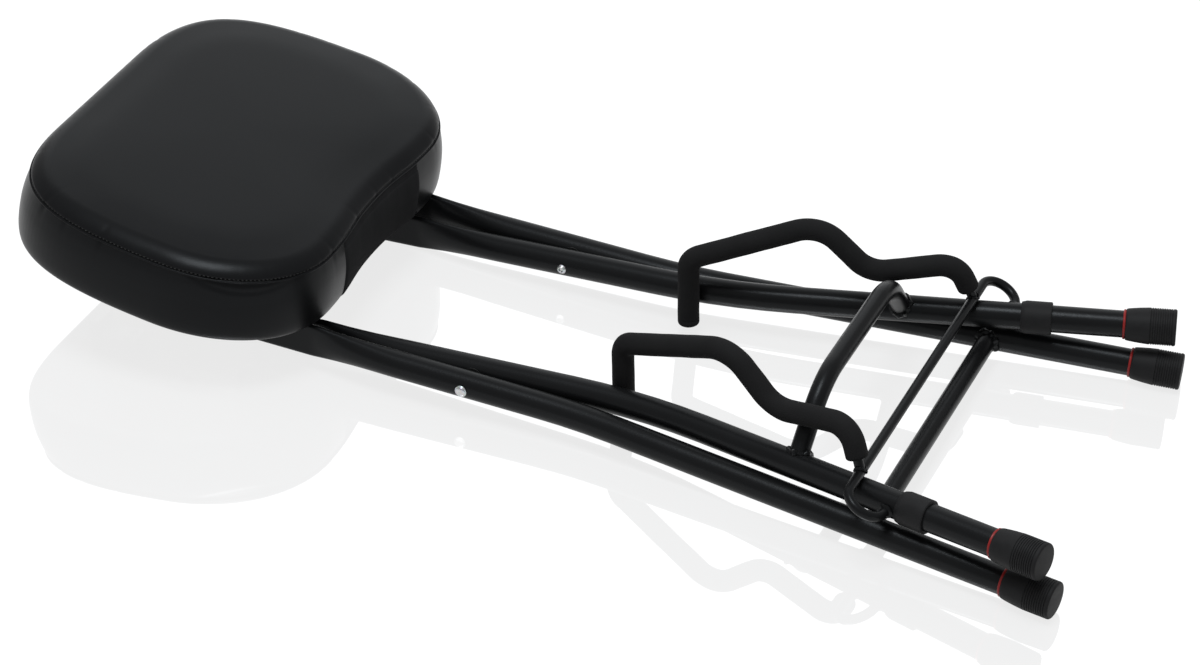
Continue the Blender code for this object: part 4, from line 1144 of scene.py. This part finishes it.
for vertex in shape.verts:
    near = form_tree.find_n(vertex.co, CARRY_COUNT)
    farthest = near[-1][2]
    total = Vector((0, 0, 0))
    weights = 0.0
    for point, index, distance in near:
        weight = (1 - distance / farthest) ** 2
        total += moves[index] * weight
        weights += weight
    vertex.co += total / weights
shape.normal_update()
for vertex in shape.verts:
    index, outside, rise = seam_reading(vertex.co)
    groove = hypot(outside, rise - SEAM_RISE) / SEAM_WIDTH
    gather = max(0, noise.noise(Vector((index * seam_step / PUCKER_GRAIN, 0, rise * PUCKER_LEAN))))
    way = min(max((index * seam_step - FOLD_START) / (FOLD_END - FOLD_START), 0), 1)
    drop = FOLD_DROP * sin(pi * way)
    crease = (rise + drop) / FOLD_WIDTH
    tuck = min(max((rise + drop) / FOLD_DROP, 0), 1) * min(max(-rise / TUCK_EASE, 0), 1)
    depth = (SEAM_DEPTH + PRICK_DEPTH * (index % 2)) * exp(-groove * groove)
    depth += PUCKER_DEPTH * gather * gather * exp(-hypot(outside, rise) / PUCKER_REACH)
    if outside > pocket:
        depth += FOLD_DEPTH * sin(pi * way) * exp(-crease * crease) + TUCK_DEPTH * tuck
    vertex.co -= vertex.normal * depth
vinyl = black_vinyl()
cushion = add_piece("seat_cushion_cover", shape, vinyl, SEAT_FRAME, "seat", "leatherette", "seat_cushion")

# Neck-rest panel
# A strip of matt black suedette sewn across the boxing in the seat's hollow front edge.
PANEL_HALF_WIDTH = 69.0 * MM
PANEL_LOW = 4.0 * MM
PANEL_HIGH = 55.4 * MM
PANEL_PROUD = 1.0 * MM
PANEL_THICKNESS = 3.0 * MM
PANEL_COLUMNS = 56
PANEL_ROWS = 66
PANEL_EDGE = 0.05
PANEL_SEAMS = (2.6 * MM, 5.0 * MM)
PANEL_SEAM_WIDTH = 0.8 * MM
PANEL_SEAM_DEPTH = 0.5 * MM
CAST_REACH = 40.0 * MM
SUEDE_COLOURS = ((0.015, 0.0152, 0.016), (0.030, 0.0303, 0.0315))


def black_suedette():
    """Matt black suedette with a short, patchy nap."""
    suede = Finish("black_suedette", {"Specular IOR Level": 0.10})
    place = suede.place()
    nap = suede.cloud(place, grain=0.6 * MM, detail=3.0)
    brushed = suede.node("Mapping", {}, {"Vector": place, "Scale": (1.0, 1.0, 0.2)})
    patch = suede.cloud(brushed, grain=9 * MM, detail=3.0)
    suede.wear(
        base_color=suede.blend(patch, *SUEDE_COLOURS),
        roughness=0.88 + patch * 0.1,
        normal=suede.relief(nap, depth=0.15 * MM),
    )
    return suede


cover = cushion.data
cover_tree = BVHTree.FromPolygons(
    [SEAT_FRAME.inverted() @ vertex.co for vertex in cover.vertices],
    [list(polygon.vertices) for polygon in cover.polygons],
)
shape = bmesh.new()
bmesh.ops.create_grid(shape, x_segments=PANEL_COLUMNS, y_segments=PANEL_ROWS, size=1.0)
for vertex in shape.verts:
    across = vertex.co.x * PANEL_HALF_WIDTH
    height = SEAT_LIFT + PANEL_LOW + (PANEL_HIGH - PANEL_LOW) * (vertex.co.y + 1) / 2
    edge = max(abs(vertex.co.x), abs(vertex.co.y))
    hit = cover_tree.ray_cast(Vector((SEAT_FRONT + CAST_REACH, across, height)), -X_AXIS)[0]
    proud = PANEL_PROUD * (1 - max(0, (edge - 1) / PANEL_EDGE + 1) ** 2)
    for drop in PANEL_SEAMS:
        line = (height - SEAT_LIFT - PANEL_HIGH + drop) / PANEL_SEAM_WIDTH
        proud -= PANEL_SEAM_DEPTH * exp(-line * line)
    vertex.co = hit + X_AXIS * proud
bmesh.ops.recalc_face_normals(shape, faces=shape.faces)
bmesh.ops.solidify(shape, geom=list(shape.faces), thickness=PANEL_THICKNESS)
panel = add_piece("neck_rest_panel", shape, black_suedette(), SEAT_FRAME, "seat", "suede", "neck_rest_pad")

# Seam welt
# The folded edge of the vinyl boxing strip, which stands out as a thin ridge along the seam.
WELT_RADIUS = 0.7 * MM
WELT_DROP = 1.2 * MM
WELT_SIDES = 8
shape = bmesh.new()
welt_rings = []
for number in range(WELT_SIDES):
    turn = 2 * pi * number / WELT_SIDES
    height = SIDE_HEIGHT - WELT_DROP + WELT_RADIUS * sin(turn)
    welt_rings.append(side_ring(WELT_RADIUS * cos(turn) - SEAM_PINCH, height))
loft(shape, welt_rings, round_back=True)
add_piece("seam_welt", shape, vinyl, SEAT_FRAME, "seat", "leatherette")

# Seam stitches
# One row of short black polyester stitches along the top panel's edge, sunk in the groove above the welt.
STITCH_EVERY = 2
STITCH_HALF_LENGTH = 1.1 * MM
STITCH_RADIUS = 0.45 * MM
STITCH_SIDES = 8
STITCH_RINGS = 5
THREAD_COLOURS = ((0.010, 0.010, 0.010), (0.022, 0.022, 0.022))


def sewing_thread():
    """Waxed black polyester thread."""
    thread = Finish("black_thread", {"Specular IOR Level": 0.4})
    twist = thread.cloud(thread.place(), grain=0.4 * MM, detail=1.0)
    thread.wear(base_color=thread.blend(twist, *THREAD_COLOURS), roughness=0.36 + twist * 0.2)
    return thread


shape = bmesh.new()
for point, way in list(zip(seam_line, seam_ways))[::STITCH_EVERY]:
    start = point + way * CAST_REACH + Z_AXIS * (seat_top + SEAM_RISE)
    hit, normal = cover_tree.ray_cast(start, -way)[:2]
    along = normal.cross(Z_AXIS).normalized()
    turn = Matrix((along, along.cross(normal), normal)).transposed().to_4x4()
    size = Matrix.Diagonal((STITCH_HALF_LENGTH, STITCH_RADIUS, STITCH_RADIUS, 1))
    place = Matrix.Translation(hit) @ turn @ size
    bmesh.ops.create_uvsphere(shape, u_segments=STITCH_SIDES, v_segments=STITCH_RINGS, radius=1.0,
                              matrix=place)
add_piece("seam_stitches", shape, sewing_thread(), SEAT_FRAME, "seat", "leatherette")
